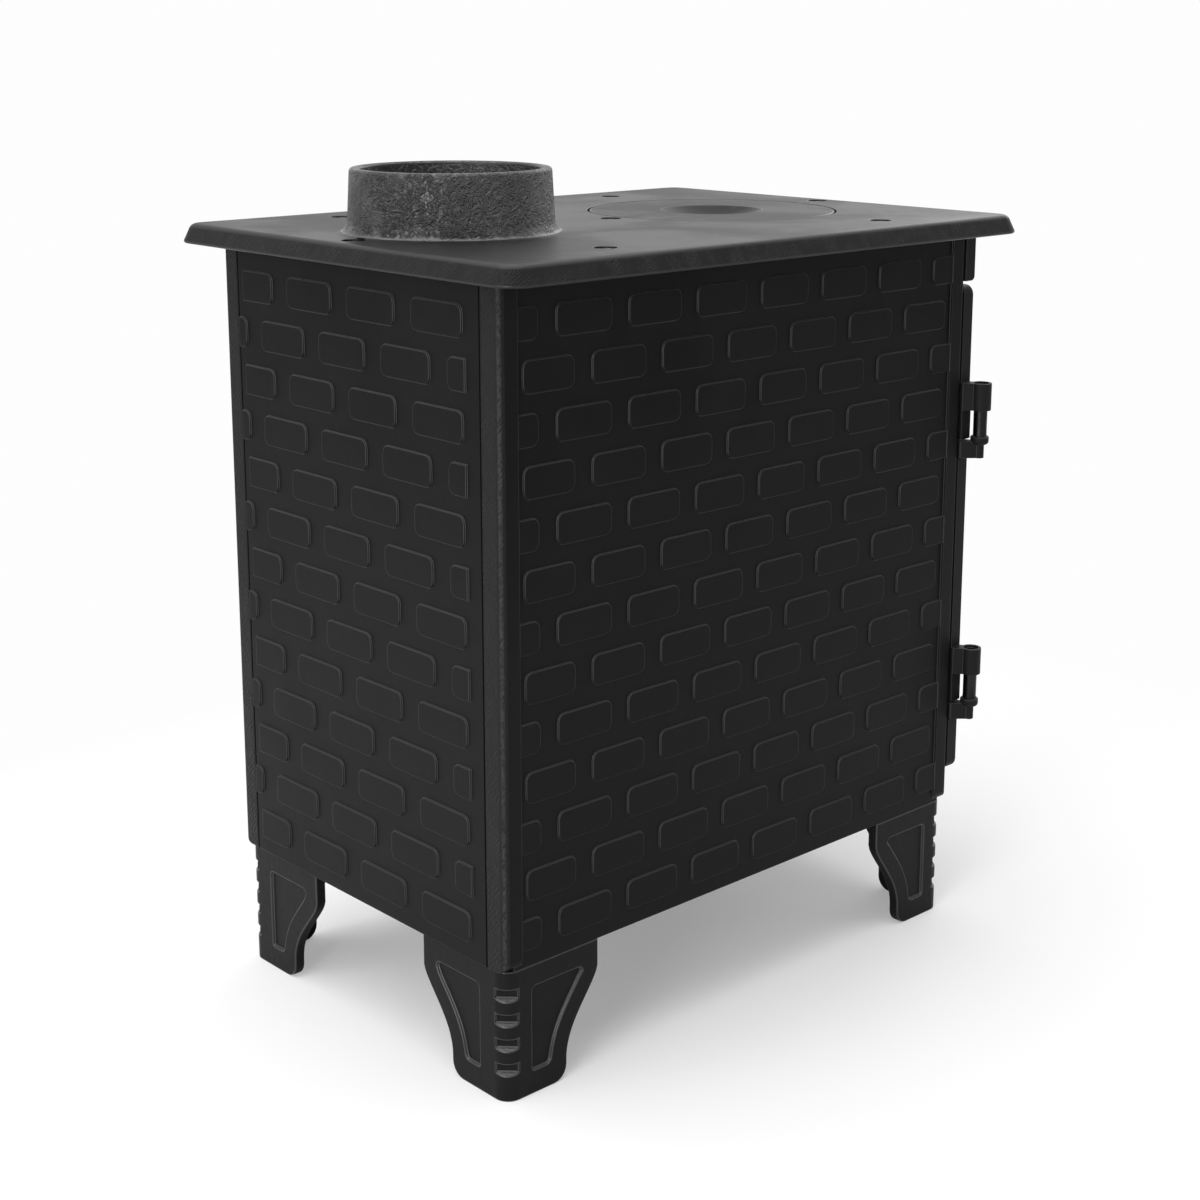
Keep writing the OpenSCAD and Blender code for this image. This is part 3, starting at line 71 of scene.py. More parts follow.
def softbox(name, at, aim, width, height, watts):
    """A rectangular lamp at one point that faces another."""
    data = bpy.data.lights.new(name, "AREA")
    data.shape = "RECTANGLE"
    data.size = width
    data.size_y = height
    data.energy = watts
    lamp = bpy.data.objects.new(name, data)
    scene.collection.objects.link(lamp)
    lamp.location = at
    lamp.rotation_euler = (Vector(aim) - Vector(at)).to_track_quat("-Z", "Y").to_euler()


softbox("key", (0.1, 2.7, 1.8), (0, 0, 0.3), 2.4, 2.4, 36)
softbox("strip", (-1.05, 2.25, 0.66), (0, 0, 0.45), 0.60, 1.5, 24)
softbox("overhead", (0.1, 0.2, 2.8), (0, 0, 0), 3.0, 3.0, 84)
softbox("front", (0.9, -2.7, 1.9), (0, 0, 0.3), 1.6, 1.6, 14)


def put(tree, value, socket):
    """Feeds a socket from another socket, or sets it to its numbers."""
    if isinstance(value, (int, float, tuple)):
        socket.default_value = value
    else:
        tree.links.new(value, socket)


def math_node(tree, operation, a, b=None):
    """The result of a maths node whose inputs are sockets or numbers."""
    node = tree.nodes.new("ShaderNodeMath")
    node.operation = operation
    put(tree, a, node.inputs[0])
    if b is not None:
        put(tree, b, node.inputs[1])
    return node.outputs[0]


def vector_node(tree, operation, a, b=None):
    """The result of a vector maths node whose inputs are sockets or three numbers."""
    node = tree.nodes.new("ShaderNodeVectorMath")
    node.operation = operation
    put(tree, a, node.inputs[0])
    if b is not None:
        put(tree, b, node.inputs[1])
    one_number = operation in ("LENGTH", "DISTANCE", "DOT_PRODUCT")
    return node.outputs["Value" if one_number else "Vector"]


def blend_colours(tree, share, first, second):
    """A mix of two colours, each a socket or three numbers."""
    node = tree.nodes.new("ShaderNodeMix")
    node.data_type = "RGBA"
    put(tree, share, node.inputs["Factor"])
    for name, colour in (("A", first), ("B", second)):
        put(tree, (*colour, 1) if isinstance(colour, tuple) else colour, node.inputs[name])
    return node.outputs["Result"]


def place_of(tree):
    """A point's place on its object."""
    return tree.nodes.new("ShaderNodeTexCoord").outputs["Object"]


# The room is white to the camera and in reflections, and dimmer as a source
# of light.
white = (0.985, 0.985, 0.985)
dim = (0.30, 0.30, 0.30)
world = bpy.data.worlds.new("room")
scene.world = world
world.use_nodes = True
tree = world.node_tree
rays = tree.nodes.new("ShaderNodeLightPath").outputs
seen = math_node(tree, "MAXIMUM", rays["Is Camera Ray"], rays["Is Glossy Ray"])
seen = math_node(tree, "MAXIMUM", seen, rays["Is Transmission Ray"])
room = tree.nodes["Background"]
room.inputs["Strength"].default_value = 1.0
tree.links.new(blend_colours(tree, seen, dim, white), room.inputs["Color"])

# Close to the stove the floor takes its shadow. Further out it fades into the
# white of the room.
floor_half = 14.0
floor_grey = (0.95, 0.95, 0.95)
shadow_glow = 0.28          # how much of the floor's white is its own, under the stove
shadow_at = (-0.05, -0.06)  # middle of the floor's shadow
shadow_half = (0.17, 0.25)  # half the size of its dark middle
shadow_reach = 0.60         # how far past that middle the shadow fades out
floor_mesh = bpy.data.meshes.new("floor")
floor_mesh.from_pydata([(-floor_half, -floor_half, 0), (floor_half, -floor_half, 0),
                        (floor_half, floor_half, 0), (-floor_half, floor_half, 0)],
                       [], [(0, 1, 2, 3)])
floor = bpy.data.objects.new("floor", floor_mesh)
scene.collection.objects.link(floor)
floor_paint = bpy.data.materials.new("floor_paint")
floor_paint.use_nodes = True
tree = floor_paint.node_tree
tree.nodes.clear()
lit = tree.nodes.new("ShaderNodeBsdfDiffuse")
lit.inputs["Color"].default_value = (*floor_grey, 1)
glow = tree.nodes.new("ShaderNodeEmission")
glow.inputs["Color"].default_value = (*white, 1)
past = vector_node(tree, "SUBTRACT", place_of(tree), (*shadow_at, 0))
past = vector_node(tree, "SUBTRACT", vector_node(tree, "ABSOLUTE", past), (*shadow_half, 0))
past = vector_node(tree, "MAXIMUM", past, (0, 0, 0))
fade = tree.nodes.new("ShaderNodeMapRange")
for name, value in (("Value", vector_node(tree, "LENGTH", past)), ("From Max", shadow_reach),
                    ("To Min", shadow_glow)):
    put(tree, value, fade.inputs[name])
to_camera = tree.nodes.new("ShaderNodeLightPath").outputs["Is Camera Ray"]
floor_mix = tree.nodes.new("ShaderNodeMixShader")
tree.links.new(math_node(tree, "MULTIPLY", to_camera, fade.outputs["Result"]),
               floor_mix.inputs["Fac"])
tree.links.new(lit.outputs[0], floor_mix.inputs[1])
tree.links.new(glow.outputs[0], floor_mix.inputs[2])
floor_out = tree.nodes.new("ShaderNodeOutputMaterial")
tree.links.new(floor_mix.outputs[0], floor_out.inputs["Surface"])
floor_mesh.materials.append(floor_paint)

# ---------------------------------------------------------------- base plate
# The plate under the firebox, sand-cast iron under a thin coat of black heat
# paint, bolted between the panels. The sand leaves a fine grain and a slow
# unevenness that the paint doesn't fill.


def number_group(name, inputs, outputs):
    """A node group whose sockets are numbers; inputs gives the defaults of those that come
    in. Returns the group, what comes in and what goes out."""
    group = bpy.data.node_groups.new(name, "ShaderNodeTree")
    for label, default in inputs.items():
        socket = group.interface.new_socket(label, in_out="INPUT",
                                            socket_type="NodeSocketFloat")
        socket.default_value = default
    for label in outputs:
        group.interface.new_socket(label, in_out="OUTPUT", socket_type="NodeSocketFloat")
    return (group, group.nodes.new("NodeGroupInput").outputs,
            group.nodes.new("NodeGroupOutput").inputs)


def use_group(tree, group, inputs):
    """What a node group gives for these inputs."""
    node = tree.nodes.new("ShaderNodeGroup")
    node.node_tree = group
    for label, value in inputs.items():
        node.inputs[label].default_value = value
    return node.outputs


def noise(tree, place, scale, detail=3.0, rough=0.55, bend=0.0):
    """A noise node; scale is per metre."""
    node = tree.nodes.new("ShaderNodeTexNoise")
    node.inputs["Detail"].default_value = detail
    node.inputs["Roughness"].default_value = rough
    node.inputs["Distortion"].default_value = bend
    put(tree, place, node.inputs["Vector"])
    put(tree, scale, node.inputs["Scale"])
    return node.outputs["Fac"]


def steps_between(tree, value, low, high, at_low=0.0, at_high=1.0):
    """A smooth step from at_low, where value is low, to at_high."""
    node = tree.nodes.new("ShaderNodeMapRange")
    node.interpolation_type = "SMOOTHSTEP"
    put(tree, value, node.inputs["Value"])
    for name, level in (("From Min", low), ("From Max", high),
                        ("To Min", at_low), ("To Max", at_high)):
        node.inputs[name].default_value = level
    return node.outputs["Result"]


def axes_of(tree, vector):
    """The x, y and z of a point or a normal."""
    split = tree.nodes.new("ShaderNodeSeparateXYZ")
    tree.links.new(vector, split.inputs[0])
    return split.outputs["X"], split.outputs["Y"], split.outputs["Z"]


def normal_of(tree):
    """A face's normal, before any bump."""
    return tree.nodes.new("ShaderNodeNewGeometry").outputs["Normal"]


def grey(level):
    """A neutral iron grey, very slightly cool."""
    return (level, level, level*1.02)


sand_cast, sand_in, sand_out = number_group(
    "sand_cast", {"Grain Size": 0.0014, "Dimple Size": 0.006, "Dimple Depth": 1.0},
    ("Height", "Patches", "Specks"))
place = place_of(sand_cast)
grain = noise(sand_cast, place, math_node(sand_cast, "DIVIDE", 1.0, sand_in["Grain Size"]),
              3, 0.6)
dimple = noise(sand_cast, place, math_node(sand_cast, "DIVIDE", 1.0, sand_in["Dimple Size"]), 2)
deep = math_node(sand_cast, "MULTIPLY", dimple, sand_in["Dimple Depth"])
swell = noise(sand_cast, place, 20, 2)
height = math_node(sand_cast, "ADD", deep, math_node(sand_cast, "MULTIPLY", swell, 3.0))
height = math_node(sand_cast, "ADD", math_node(sand_cast, "MULTIPLY", grain, 0.4), height)
patches = steps_between(sand_cast, noise(sand_cast, place, 8, 5, 0.6, 0.4), 0.3, 0.7)
specks = steps_between(sand_cast, noise(sand_cast, place, 900, 1), 0.68, 0.8)
for name, value in (("Height", height), ("Patches", patches), ("Specks", specks)):
    sand_cast.links.new(value, sand_out[name])


def new_material(name):
    """A material, its node tree and its Principled node."""
    material = bpy.data.materials.new(name)
    material.use_nodes = True
    return material, material.node_tree, material.node_tree.nodes["Principled BSDF"]


def add_bump(tree, height, depth):
    """Gives a material's Principled node a bump that is depth metres deep."""
    bump = tree.nodes.new("ShaderNodeBump")
    bump.name = "bump"
    bump.inputs["Distance"].default_value = depth
    tree.links.new(height, bump.inputs["Height"])
    tree.links.new(bump.outputs["Normal"], tree.nodes["Principled BSDF"].inputs["Normal"])
    return bump


def paint_over(tree, mask, colour):
    """Lays a colour over a material's own, where the mask says."""
    base = tree.nodes["Principled BSDF"].inputs["Base Color"]
    tree.links.new(blend_colours(tree, mask, base.links[0].from_socket, colour), base)


def cast_iron(name, base=0.016, rough=0.50, shine=0.2, grain_size=0.0014, dimple_size=0.006,
              dimple_depth=1.0, depth=0.00010, edge_r=0.0, edge_highlight=0.0):
    """Painted cast iron: base is its grey, shine its specular level, and depth the height
    of its marks. Edges look rounded by edge_r; where they look up, the last argument paints
    them a lighter grey, a painted highlight."""
    material, tree, skin = new_material(name)
    skin.inputs["Specular IOR Level"].default_value = shine
    sand = use_group(tree, sand_cast, {"Grain Size": grain_size, "Dimple Size": dimple_size,
                                       "Dimple Depth": dimple_depth})
    tree.links.new(blend_colours(tree, sand["Patches"], grey(base*0.82), grey(base*1.22)),
                   skin.inputs["Base Color"])
    paint_over(tree, math_node(tree, "MULTIPLY", sand["Specks"], 0.5), grey(base*2.6))
    tree.links.new(steps_between(tree, sand["Patches"], 0, 1, rough - 0.05, rough + 0.06),
                   skin.inputs["Roughness"])
    bump = add_bump(tree, sand["Height"], depth)
    if edge_r:
        bevel = tree.nodes.new("ShaderNodeBevel")
        bevel.samples = 6
        bevel.inputs["Radius"].default_value = edge_r
        rounded = bevel.outputs["Normal"]
        tree.links.new(rounded, bump.inputs["Normal"])
        agree = vector_node(tree, "DOT_PRODUCT", rounded, normal_of(tree))
        upward = axes_of(tree, rounded)[2]
        # Rounded edges that look up are painted lighter here: a painted highlight.
        lit_edge = math_node(tree, "MULTIPLY", steps_between(tree, agree, 0.82, 0.995, 1.0, 0.0),
                           steps_between(tree, upward, -0.35, 0.05))
        paint_over(tree, lit_edge, grey(edge_highlight))
    return material


def soften(name, width, steps=3, angle=28):
    """Rounds the sharp edges of a CAD node, as a casting's or a pressing's are. The new
    faces take the node's last material."""
    piece = nodes[name]
    weld = piece.modifiers.new("weld", "WELD")
    weld.merge_threshold = 0.00001
    flat = piece.modifiers.new("flat", "DECIMATE")
    flat.decimate_type = "DISSOLVE"
    flat.angle_limit = math.radians(0.6)
    split = piece.modifiers.new("split", "TRIANGULATE")
    split.min_vertices = 5
    round_off = piece.modifiers.new("round_off", "BEVEL")
    round_off.limit_method = "ANGLE"
    round_off.angle_limit = math.radians(angle)
    round_off.width = width
    round_off.segments = steps
    round_off.use_clamp_overlap = False
    round_off.loop_slide = False
    round_off.harden_normals = False
    round_off.material = len(piece.data.materials) - 1
    for face in piece.data.polygons:
        face.use_smooth = True
    smooth = piece.modifiers.new("smooth", "WEIGHTED_NORMAL")
    smooth.keep_sharp = False


def dress(name, *materials):
    """Gives a CAD node its materials; the last is that of its rounded edges."""
    piece = nodes[name]
    piece.data.materials.clear()
    for material in materials:
        piece.data.materials.append(material)


rough_iron = cast_iron("rough_iron", base=0.012, rough=0.58, shine=0.15, grain_size=0.002,
                       dimple_size=0.009, dimple_depth=1.6, depth=0.00018)
dress("base_plate", rough_iron)
soften("base_plate", 0.6*mm)

# ---------------------------------------------------------------- legs
# Four angle castings with ogee edges, recessed faces and four notches up the
# corner. Each is bolted up through the base plate by two hexagon bolts, which
# are plain zinc-plated steel, dulled by heat.

leg_top = 100*mm                     # every face that looks up below this is a floor
leg_iron = cast_iron("leg_iron", base=0.0065, rough=0.42, shine=0.10, grain_size=0.0016,
                     dimple_size=0.008, dimple_depth=1.8, depth=0.00016, edge_r=1.6*mm,
                     edge_highlight=0.035)
# The upward floors of the notches and recesses are painted a far lighter grey: painted light.
lit_ledge_iron = cast_iron("lit_ledge_iron", base=0.09, rough=0.40, shine=0.5, grain_size=0.0022,
                       dimple_size=0.004, dimple_depth=4.0, depth=0.0004)
# The leg's rounded edges are a lighter grey than the leg: a painted highlight.
leg_edge = cast_iron("leg_edge", base=0.024, rough=0.30, shine=0.45)
for side in ("front_left", "front_right", "rear_left", "rear_right"):
    dress("leg_" + side, leg_iron, lit_ledge_iron, leg_edge)
    for face in nodes["leg_" + side].data.polygons:
        if face.normal.z > 0.5 and face.center.z < leg_top:
            face.material_index = 1      # the floors of its notches and recesses, painted light
    soften("leg_" + side, 1.0*mm)


def stretched(tree, place, scale, turn=(0, 0, 0)):
    """A place scaled along each axis, then turned by angles in radians."""
    node = tree.nodes.new("ShaderNodeMapping")
    node.inputs["Rotation"].default_value = turn
    node.inputs["Scale"].default_value = scale
    tree.links.new(place, node.inputs["Vector"])
    return node.outputs["Vector"]


def steel(name, base=0.36, rough=0.42, brush=1.0, scratch=0.00003):
    """Bare or plated steel with fine lines along z; brush is how strong they are."""
    material, tree, skin = new_material(name)
    skin.inputs["Metallic"].default_value = 1.0
    place = place_of(tree)
    lines = noise(tree, stretched(tree, place, (1.0, 1.0, 0.12)), 1800, 2)
    dull = steps_between(tree, noise(tree, place, 60, 4), 0.35, 0.7)
    tree.links.new(blend_colours(tree, dull, grey(base*0.7), grey(base*1.15)),
                   skin.inputs["Base Color"])
    tree.links.new(math_node(tree, "ADD",
                             steps_between(tree, dull, 0, 1, rough + 0.12, rough - 0.05),
                             math_node(tree, "MULTIPLY", lines, 0.1*brush)),
                   skin.inputs["Roughness"])
    add_bump(tree, lines, scratch)
    return material


plated_steel = steel("plated_steel")
for name in ("leg_bolts", "base_bolts"):
    dress(name, plated_steel)
    soften(name, 0.3*mm)

# ---------------------------------------------------------------- panels
# The rear panel and the two side panels, castings with a relief of bricks.
# The side panels carry the stove's four corner posts, and the rear posts were
# filed. Two bolts through each seam hold them together from inside.

post_y = (262*mm, 263*mm)            # where a rear post's filed face begins, in y
post_x = (147*mm, 149*mm)            # and in |x|
corner_out = (429.9*mm, 430.5*mm)    # where the painted highlight on its rounded corner begins, in |x| + y
seam_x = 146.1*mm                    # the middle of the seam beside each rear post
seam_half = (0.7*mm, 1.2*mm)         # how far its dark goes to each side, fading
seam_y = (255*mm, 260*mm)            # where its dark begins, fading, towards the rear
stroke_rate = 0.444                  # a wave's scale times its spacing on an upright face

file_marks, mark_in, mark_out = number_group("file_marks", {"Spacing": 0.0022}, ("Height",))
place = place_of(file_marks)
strokes = file_marks.nodes.new("ShaderNodeTexWave")
strokes.bands_direction = "DIAGONAL"
strokes.inputs["Distortion"].default_value = 6.0
strokes.inputs["Detail"].default_value = 2.0
strokes.inputs["Detail Scale"].default_value = 1.5
file_marks.links.new(place, strokes.inputs["Vector"])
file_marks.links.new(math_node(file_marks, "DIVIDE", stroke_rate, mark_in["Spacing"]),
                     strokes.inputs["Scale"])
here_and_there = steps_between(file_marks, noise(file_marks, place, 70, 3), 0.35, 0.65)
file_marks.links.new(math_node(file_marks, "MULTIPLY", strokes.outputs["Fac"], here_and_there),
                     mark_out["Height"])


def raise_marks(tree, height, strength=1.0, mask=1.0):
    """Adds a height to that of an iron's bump, so many times over where the mask says."""
    marks = tree.nodes["bump"].inputs["Height"]
    more = math_node(tree, "MULTIPLY", height, math_node(tree, "MULTIPLY", mask, strength))
    tree.links.new(math_node(tree, "ADD", marks.links[0].from_socket, more), marks)


panel_iron = cast_iron("panel_iron", base=0.0050, rough=0.42, shine=0.08, edge_r=1.4*mm,
                       edge_highlight=0.038)
tree = panel_iron.node_tree
place = place_of(tree)
x, y, _ = axes_of(tree, place)
x = math_node(tree, "ABSOLUTE", x)
on_post = math_node(tree, "MULTIPLY", steps_between(tree, y, *post_y),
                    steps_between(tree, x, *post_x))
raise_marks(tree, use_group(tree, file_marks, {"Spacing": 0.0032})["Height"], 4.0, on_post)
# A mottled painted highlight along the rounded corner of each rear post.
corner_glint = math_node(tree, "MULTIPLY",
                      steps_between(tree, math_node(tree, "ADD", x, y), *corner_out),
                      steps_between(tree, noise(tree, place, 340, 3), 0.25, 0.65))
# The filed faces of the rear posts are painted a lighter grey, a painted sheen.
paint_over(tree, math_node(tree, "MULTIPLY", on_post, 0.7), grey(0.016))
paint_over(tree, corner_glint, grey(0.034))

# The rounded edges of the bricks are painted lighter where they look up and darker
# where they look down: a painted highlight and painted shade.
panel_edge = cast_iron("panel_edge", base=0.045, rough=0.32, shine=0.16)
tree = panel_edge.node_tree
upward = steps_between(tree, axes_of(tree, normal_of(tree))[2], -0.3, 0.1)
tree.links.new(blend_colours(tree, upward, grey(0.003), grey(0.038)),
               tree.nodes["Principled BSDF"].inputs["Base Color"])

# Both are painted near black along the seam beside each rear post, painted shade in the gap,
# and rougher there.
for iron in (panel_iron, panel_edge):
    tree = iron.node_tree
    x, y, _ = axes_of(tree, place_of(tree))
    off_seam = math_node(tree, "SUBTRACT", math_node(tree, "ABSOLUTE", x), seam_x)
    off_seam = math_node(tree, "ABSOLUTE", off_seam)
    seam_shade = math_node(tree, "MULTIPLY", steps_between(tree, y, *seam_y),
                        steps_between(tree, off_seam, *seam_half, 1.0, 0.0))
    paint_over(tree, seam_shade, grey(0.0008))
    rough = tree.nodes["Principled BSDF"].inputs["Roughness"]
    tree.links.new(math_node(tree, "MAXIMUM", rough.links[0].from_socket,
                             math_node(tree, "MULTIPLY", seam_shade, 0.95)), rough)
for name in ("rear_panel", "side_panel_left", "side_panel_right"):
    dress(name, panel_iron, panel_edge)
    soften(name, 0.45*mm)
dress("corner_bolts", plated_steel)
soften("corner_bolts", 0.3*mm)

# ---------------------------------------------------------------- front plate
# The casting round the doorway, with the strip under the top plate's lip and
# the two lugs that carry the hinge pins.

front_iron = cast_iron("front_iron", base=0.008, rough=0.48, shine=0.10, dimple_size=0.008,
                       dimple_depth=1.4, depth=0.00013)
# The rounded edges are a lighter grey than the plate: a painted highlight.
front_edge = cast_iron("front_edge", base=0.014, rough=0.42, shine=0.25)
dress("front_plate", front_iron, front_edge)
soften("front_plate", 0.45*mm)

# ---------------------------------------------------------------- grate
# The bed is a plate across the firebox. The loose grate lies in its opening.
# Both are thick bare castings, scaled and ash-grey from the fire.

fire_scale, scale_in, scale_out = number_group("fire_scale", {"Flake Size": 0.012},
                                               ("Ash", "Height"))
flakes = noise(fire_scale, place_of(fire_scale),
               math_node(fire_scale, "DIVIDE", 1.0, scale_in["Flake Size"]), 6, 0.65, 0.6)
upward = axes_of(fire_scale, normal_of(fire_scale))[2]
lying = steps_between(fire_scale, upward, 0.2, 0.9, 0.25, 1.0)
fire_scale.links.new(math_node(fire_scale, "MULTIPLY", lying,
                               steps_between(fire_scale, flakes, 0.42, 0.66)),
                     scale_out["Ash"])
fire_scale.links.new(steps_between(fire_scale, flakes, 0.35, 0.6), scale_out["Height"])


def fired_iron(name, base=0.018, ash=0.16, rough=0.72, flake=0.012):
    """Cast iron that the fire has scaled, with pale ash where it lies."""
    material = cast_iron(name, base=base, rough=rough, shine=0.25, grain_size=0.0018,
                         dimple_size=0.007, dimple_depth=1.5, depth=0.0002)
    tree = material.node_tree
    burnt = use_group(tree, fire_scale, {"Flake Size": flake})
    paint_over(tree, math_node(tree, "MULTIPLY", burnt["Ash"], 0.75),
               (ash, ash*0.95, ash*0.88))
    raise_marks(tree, burnt["Height"])
    return material


grate_iron = fired_iron("grate_iron", ash=0.07, flake=0.02)
for name in ("grate_bed", "fire_grate"):
    dress(name, grate_iron)
    soften(name, 0.6*mm)

# ---------------------------------------------------------------- firebricks
# Three fired-clay bricks along each side of the fire and two behind it, set
# in cement. They are pale and pitted, and soot darkens them upwards.

pale_clay = (0.66, 0.55, 0.41)
dark_clay = (0.50, 0.38, 0.25)
grog_brown = (0.34, 0.25, 0.17)
soot_black = (0.035, 0.032, 0.030)

brick_clay, tree, skin = new_material("brick_clay")
skin.inputs["Specular IOR Level"].default_value = 0.2
place = place_of(tree)
mottle = noise(tree, place, 70, 5, 0.6)
tree.links.new(blend_colours(tree, steps_between(tree, mottle, 0.35, 0.65), dark_clay,
                             pale_clay), skin.inputs["Base Color"])
grog = tree.nodes.new("ShaderNodeTexVoronoi")
grog.inputs["Scale"].default_value = 300
tree.links.new(place, grog.inputs["Vector"])
grog_spots = steps_between(tree, grog.outputs["Distance"], 0.16, 0.30, 1.0, 0.0)
paint_over(tree, math_node(tree, "MULTIPLY", grog_spots, 0.45), grog_brown)
smoke = math_node(tree, "ADD", math_node(tree, "MULTIPLY", noise(tree, place, 14, 4), 0.10),
                  axes_of(tree, place)[2])
paint_over(tree, steps_between(tree, smoke, 0.26, 0.47, 0.15, 0.88), soot_black)
tree.links.new(steps_between(tree, mottle, 0.3, 0.7, 0.82, 0.95), skin.inputs["Roughness"])
add_bump(tree, math_node(tree, "SUBTRACT", noise(tree, place, 450, 4, 0.65),
                         math_node(tree, "MULTIPLY", grog_spots, 0.7)), 0.0004)
for name in ("firebricks_left", "firebricks_right", "firebricks_rear"):
    dress(name, brick_clay)
    soften(name, 1.5*mm)

# ---------------------------------------------------------------- ash pan
# A folded pan of painted sheet steel that slides on the base plate's runners,
# with a bow handle. Ash lies in it, and sliding has scratched its sides.

pale_ash = (0.26, 0.245, 0.225)

pan_paint, tree, skin = new_material("pan_paint")
skin.inputs["Specular IOR Level"].default_value = 0.4
place = place_of(tree)
slid = stretched(tree, place, (1.0, 0.03, 1.0))
scores = steps_between(tree, noise(tree, slid, 700, 2), 0.66, 0.74)
upward = axes_of(tree, normal_of(tree))[2]
dusty = math_node(tree, "MULTIPLY", steps_between(tree, upward, 0.3, 0.9),
                  steps_between(tree, noise(tree, place, 40, 6, 0.6), 0.35, 0.6))
tree.links.new(blend_colours(tree, noise(tree, place, 12, 3), grey(0.030), grey(0.048)),
               skin.inputs["Base Color"])
paint_over(tree, math_node(tree, "MULTIPLY", scores, 0.5), grey(0.16))
paint_over(tree, dusty, pale_ash)
tree.links.new(steps_between(tree, dusty, 0, 1, 0.42, 0.9), skin.inputs["Roughness"])
add_bump(tree, math_node(tree, "ADD", noise(tree, place, 500, 3),
                         math_node(tree, "MULTIPLY", dusty, 3.0)), 0.00012)
dress("ash_pan", pan_paint)
soften("ash_pan", 0.35*mm)

# ---------------------------------------------------------------- log guard and baffle
# The guard stands on the grate bed inside the doorway. The baffle is a plate
# over the fire that sends the smoke forward, hung on a screw from the top.

sooty_iron = fired_iron("sooty_iron", base=0.012, ash=0.055, rough=0.8, flake=0.02)
for name in ("log_guard", "baffle_plate"):
    dress(name, sooty_iron)
    soften(name, 0.6*mm)

# ---------------------------------------------------------------- top casting
# The top plate, its turned-down lip and the flue collar are one casting. The
# collar was left as it came from the sand, wrinkled. The lip was dressed with
# a coarse file before painting. Seven screws hold the casting down.

plate_z = (609.5*mm, 614*mm)         # the plate's skin ends and the collar's begins
lip_top = 605*mm                     # the lip's face ends in the rounded edge above it
scar_at = (-44*mm, 235*mm, 629*mm)   # where the feeder was broken off the collar
scar_r = 9.5*mm
flue_at = (0, 173.5*mm, 0)           # a point on the collar's axis
bore_r = 68*mm                       # the collar's bore, sooted inside
flue_soot = (0.0035, 0.0033, 0.0032)

wrinkles, wrinkle_in, wrinkle_out = number_group("wrinkles", {"Size": 0.012}, ("Height",))
place = place_of(wrinkles)
folds = noise(wrinkles, place, math_node(wrinkles, "DIVIDE", 1.0, wrinkle_in["Size"]),
              4, 0.6, 1.2)
# A crest stands wherever the noise passes its middle.
crest = math_node(wrinkles, "ABSOLUTE", math_node(wrinkles, "SUBTRACT", folds, 0.5))
crest = steps_between(wrinkles, crest, 0.0, 0.09, 1.0, 0.0)
where = steps_between(wrinkles, noise(wrinkles, place, 45, 2), 0.38, 0.6, 0.25, 1.0)
wrinkles.links.new(math_node(wrinkles, "MULTIPLY", crest, where), wrinkle_out["Height"])

top_iron = cast_iron("top_iron", base=0.007, rough=0.40, shine=0.20, grain_size=0.0013,
                     dimple_size=0.010, dimple_depth=1.2, depth=0.00009)
lip_iron = cast_iron("lip_iron", base=0.006, rough=0.46, shine=0.13, dimple_size=0.010,
                     depth=0.00012)
tree = lip_iron.node_tree
raise_marks(tree, use_group(tree, file_marks, {"Spacing": 0.0020})["Height"], 3.0)

collar_iron = cast_iron("collar_iron", base=0.010, rough=0.31, shine=0.75, grain_size=0.0012,
                        dimple_size=0.005, dimple_depth=3.0, depth=0.00014)
tree = collar_iron.node_tree
place = place_of(tree)
off_axis = vector_node(tree, "MULTIPLY", vector_node(tree, "SUBTRACT", place, flue_at),
                       (1, 1, 0))
outside_bore = steps_between(tree, vector_node(tree, "LENGTH", off_axis), bore_r,
                             bore_r + 1.5*mm)
on_collar = math_node(tree, "MULTIPLY", steps_between(tree, axes_of(tree, place)[2], *plate_z),
                      steps_between(tree, outside_bore, 0, 1, 0.12, 1.0))
for size, strength in ((0.0085, 26.0), (0.0040, 5.0)):
    raise_marks(tree, use_group(tree, wrinkles, {"Size": size})["Height"], strength, on_collar)
scar_out = math_node(tree, "SUBTRACT", vector_node(tree, "DISTANCE", place, scar_at), scar_r)
scar_out = math_node(tree, "ABSOLUTE", scar_out)
scar_rim = math_node(tree, "MULTIPLY", steps_between(tree, scar_out, 0.2*mm, 1.0*mm, 1.0, 0.0),
                     steps_between(tree, noise(tree, place, 120, 2), 0.4, 0.62))
raise_marks(tree, scar_rim, 3.0)
paint_over(tree, math_node(tree, "SUBTRACT", 1.0, outside_bore), flue_soot)
# The rounded edges are a lighter grey than the plate: a painted highlight.
top_edge = cast_iron("top_edge", base=0.010, rough=0.33, shine=0.30)
dress("top_plate", top_iron, collar_iron, lip_iron, top_edge)
for face in nodes["top_plate"].data.polygons:
    if face.center.z > plate_z[0]:
        face.material_index = 1
    elif face.center.z < lip_top and abs(face.normal.z) < 0.7:
        face.material_index = 2
soften("top_plate", 0.7*mm)

screw_iron = cast_iron("screw_iron", base=0.014, rough=0.42, shine=0.35, grain_size=0.0007)
dress("top_screws", screw_iron)
soften("top_screws", 0.25*mm)

# ---------------------------------------------------------------- hob lid
# A loose round casting in its recess in the top plate. Its spherical hollow
# takes the tip of the lifter.

hollow_top = 607.5*mm                # what looks up below this is the hollow
lid_iron = cast_iron("lid_iron", base=0.008, rough=0.43, shine=0.19, grain_size=0.0015,
                     dimple_size=0.007, dimple_depth=1.5, depth=0.00013)
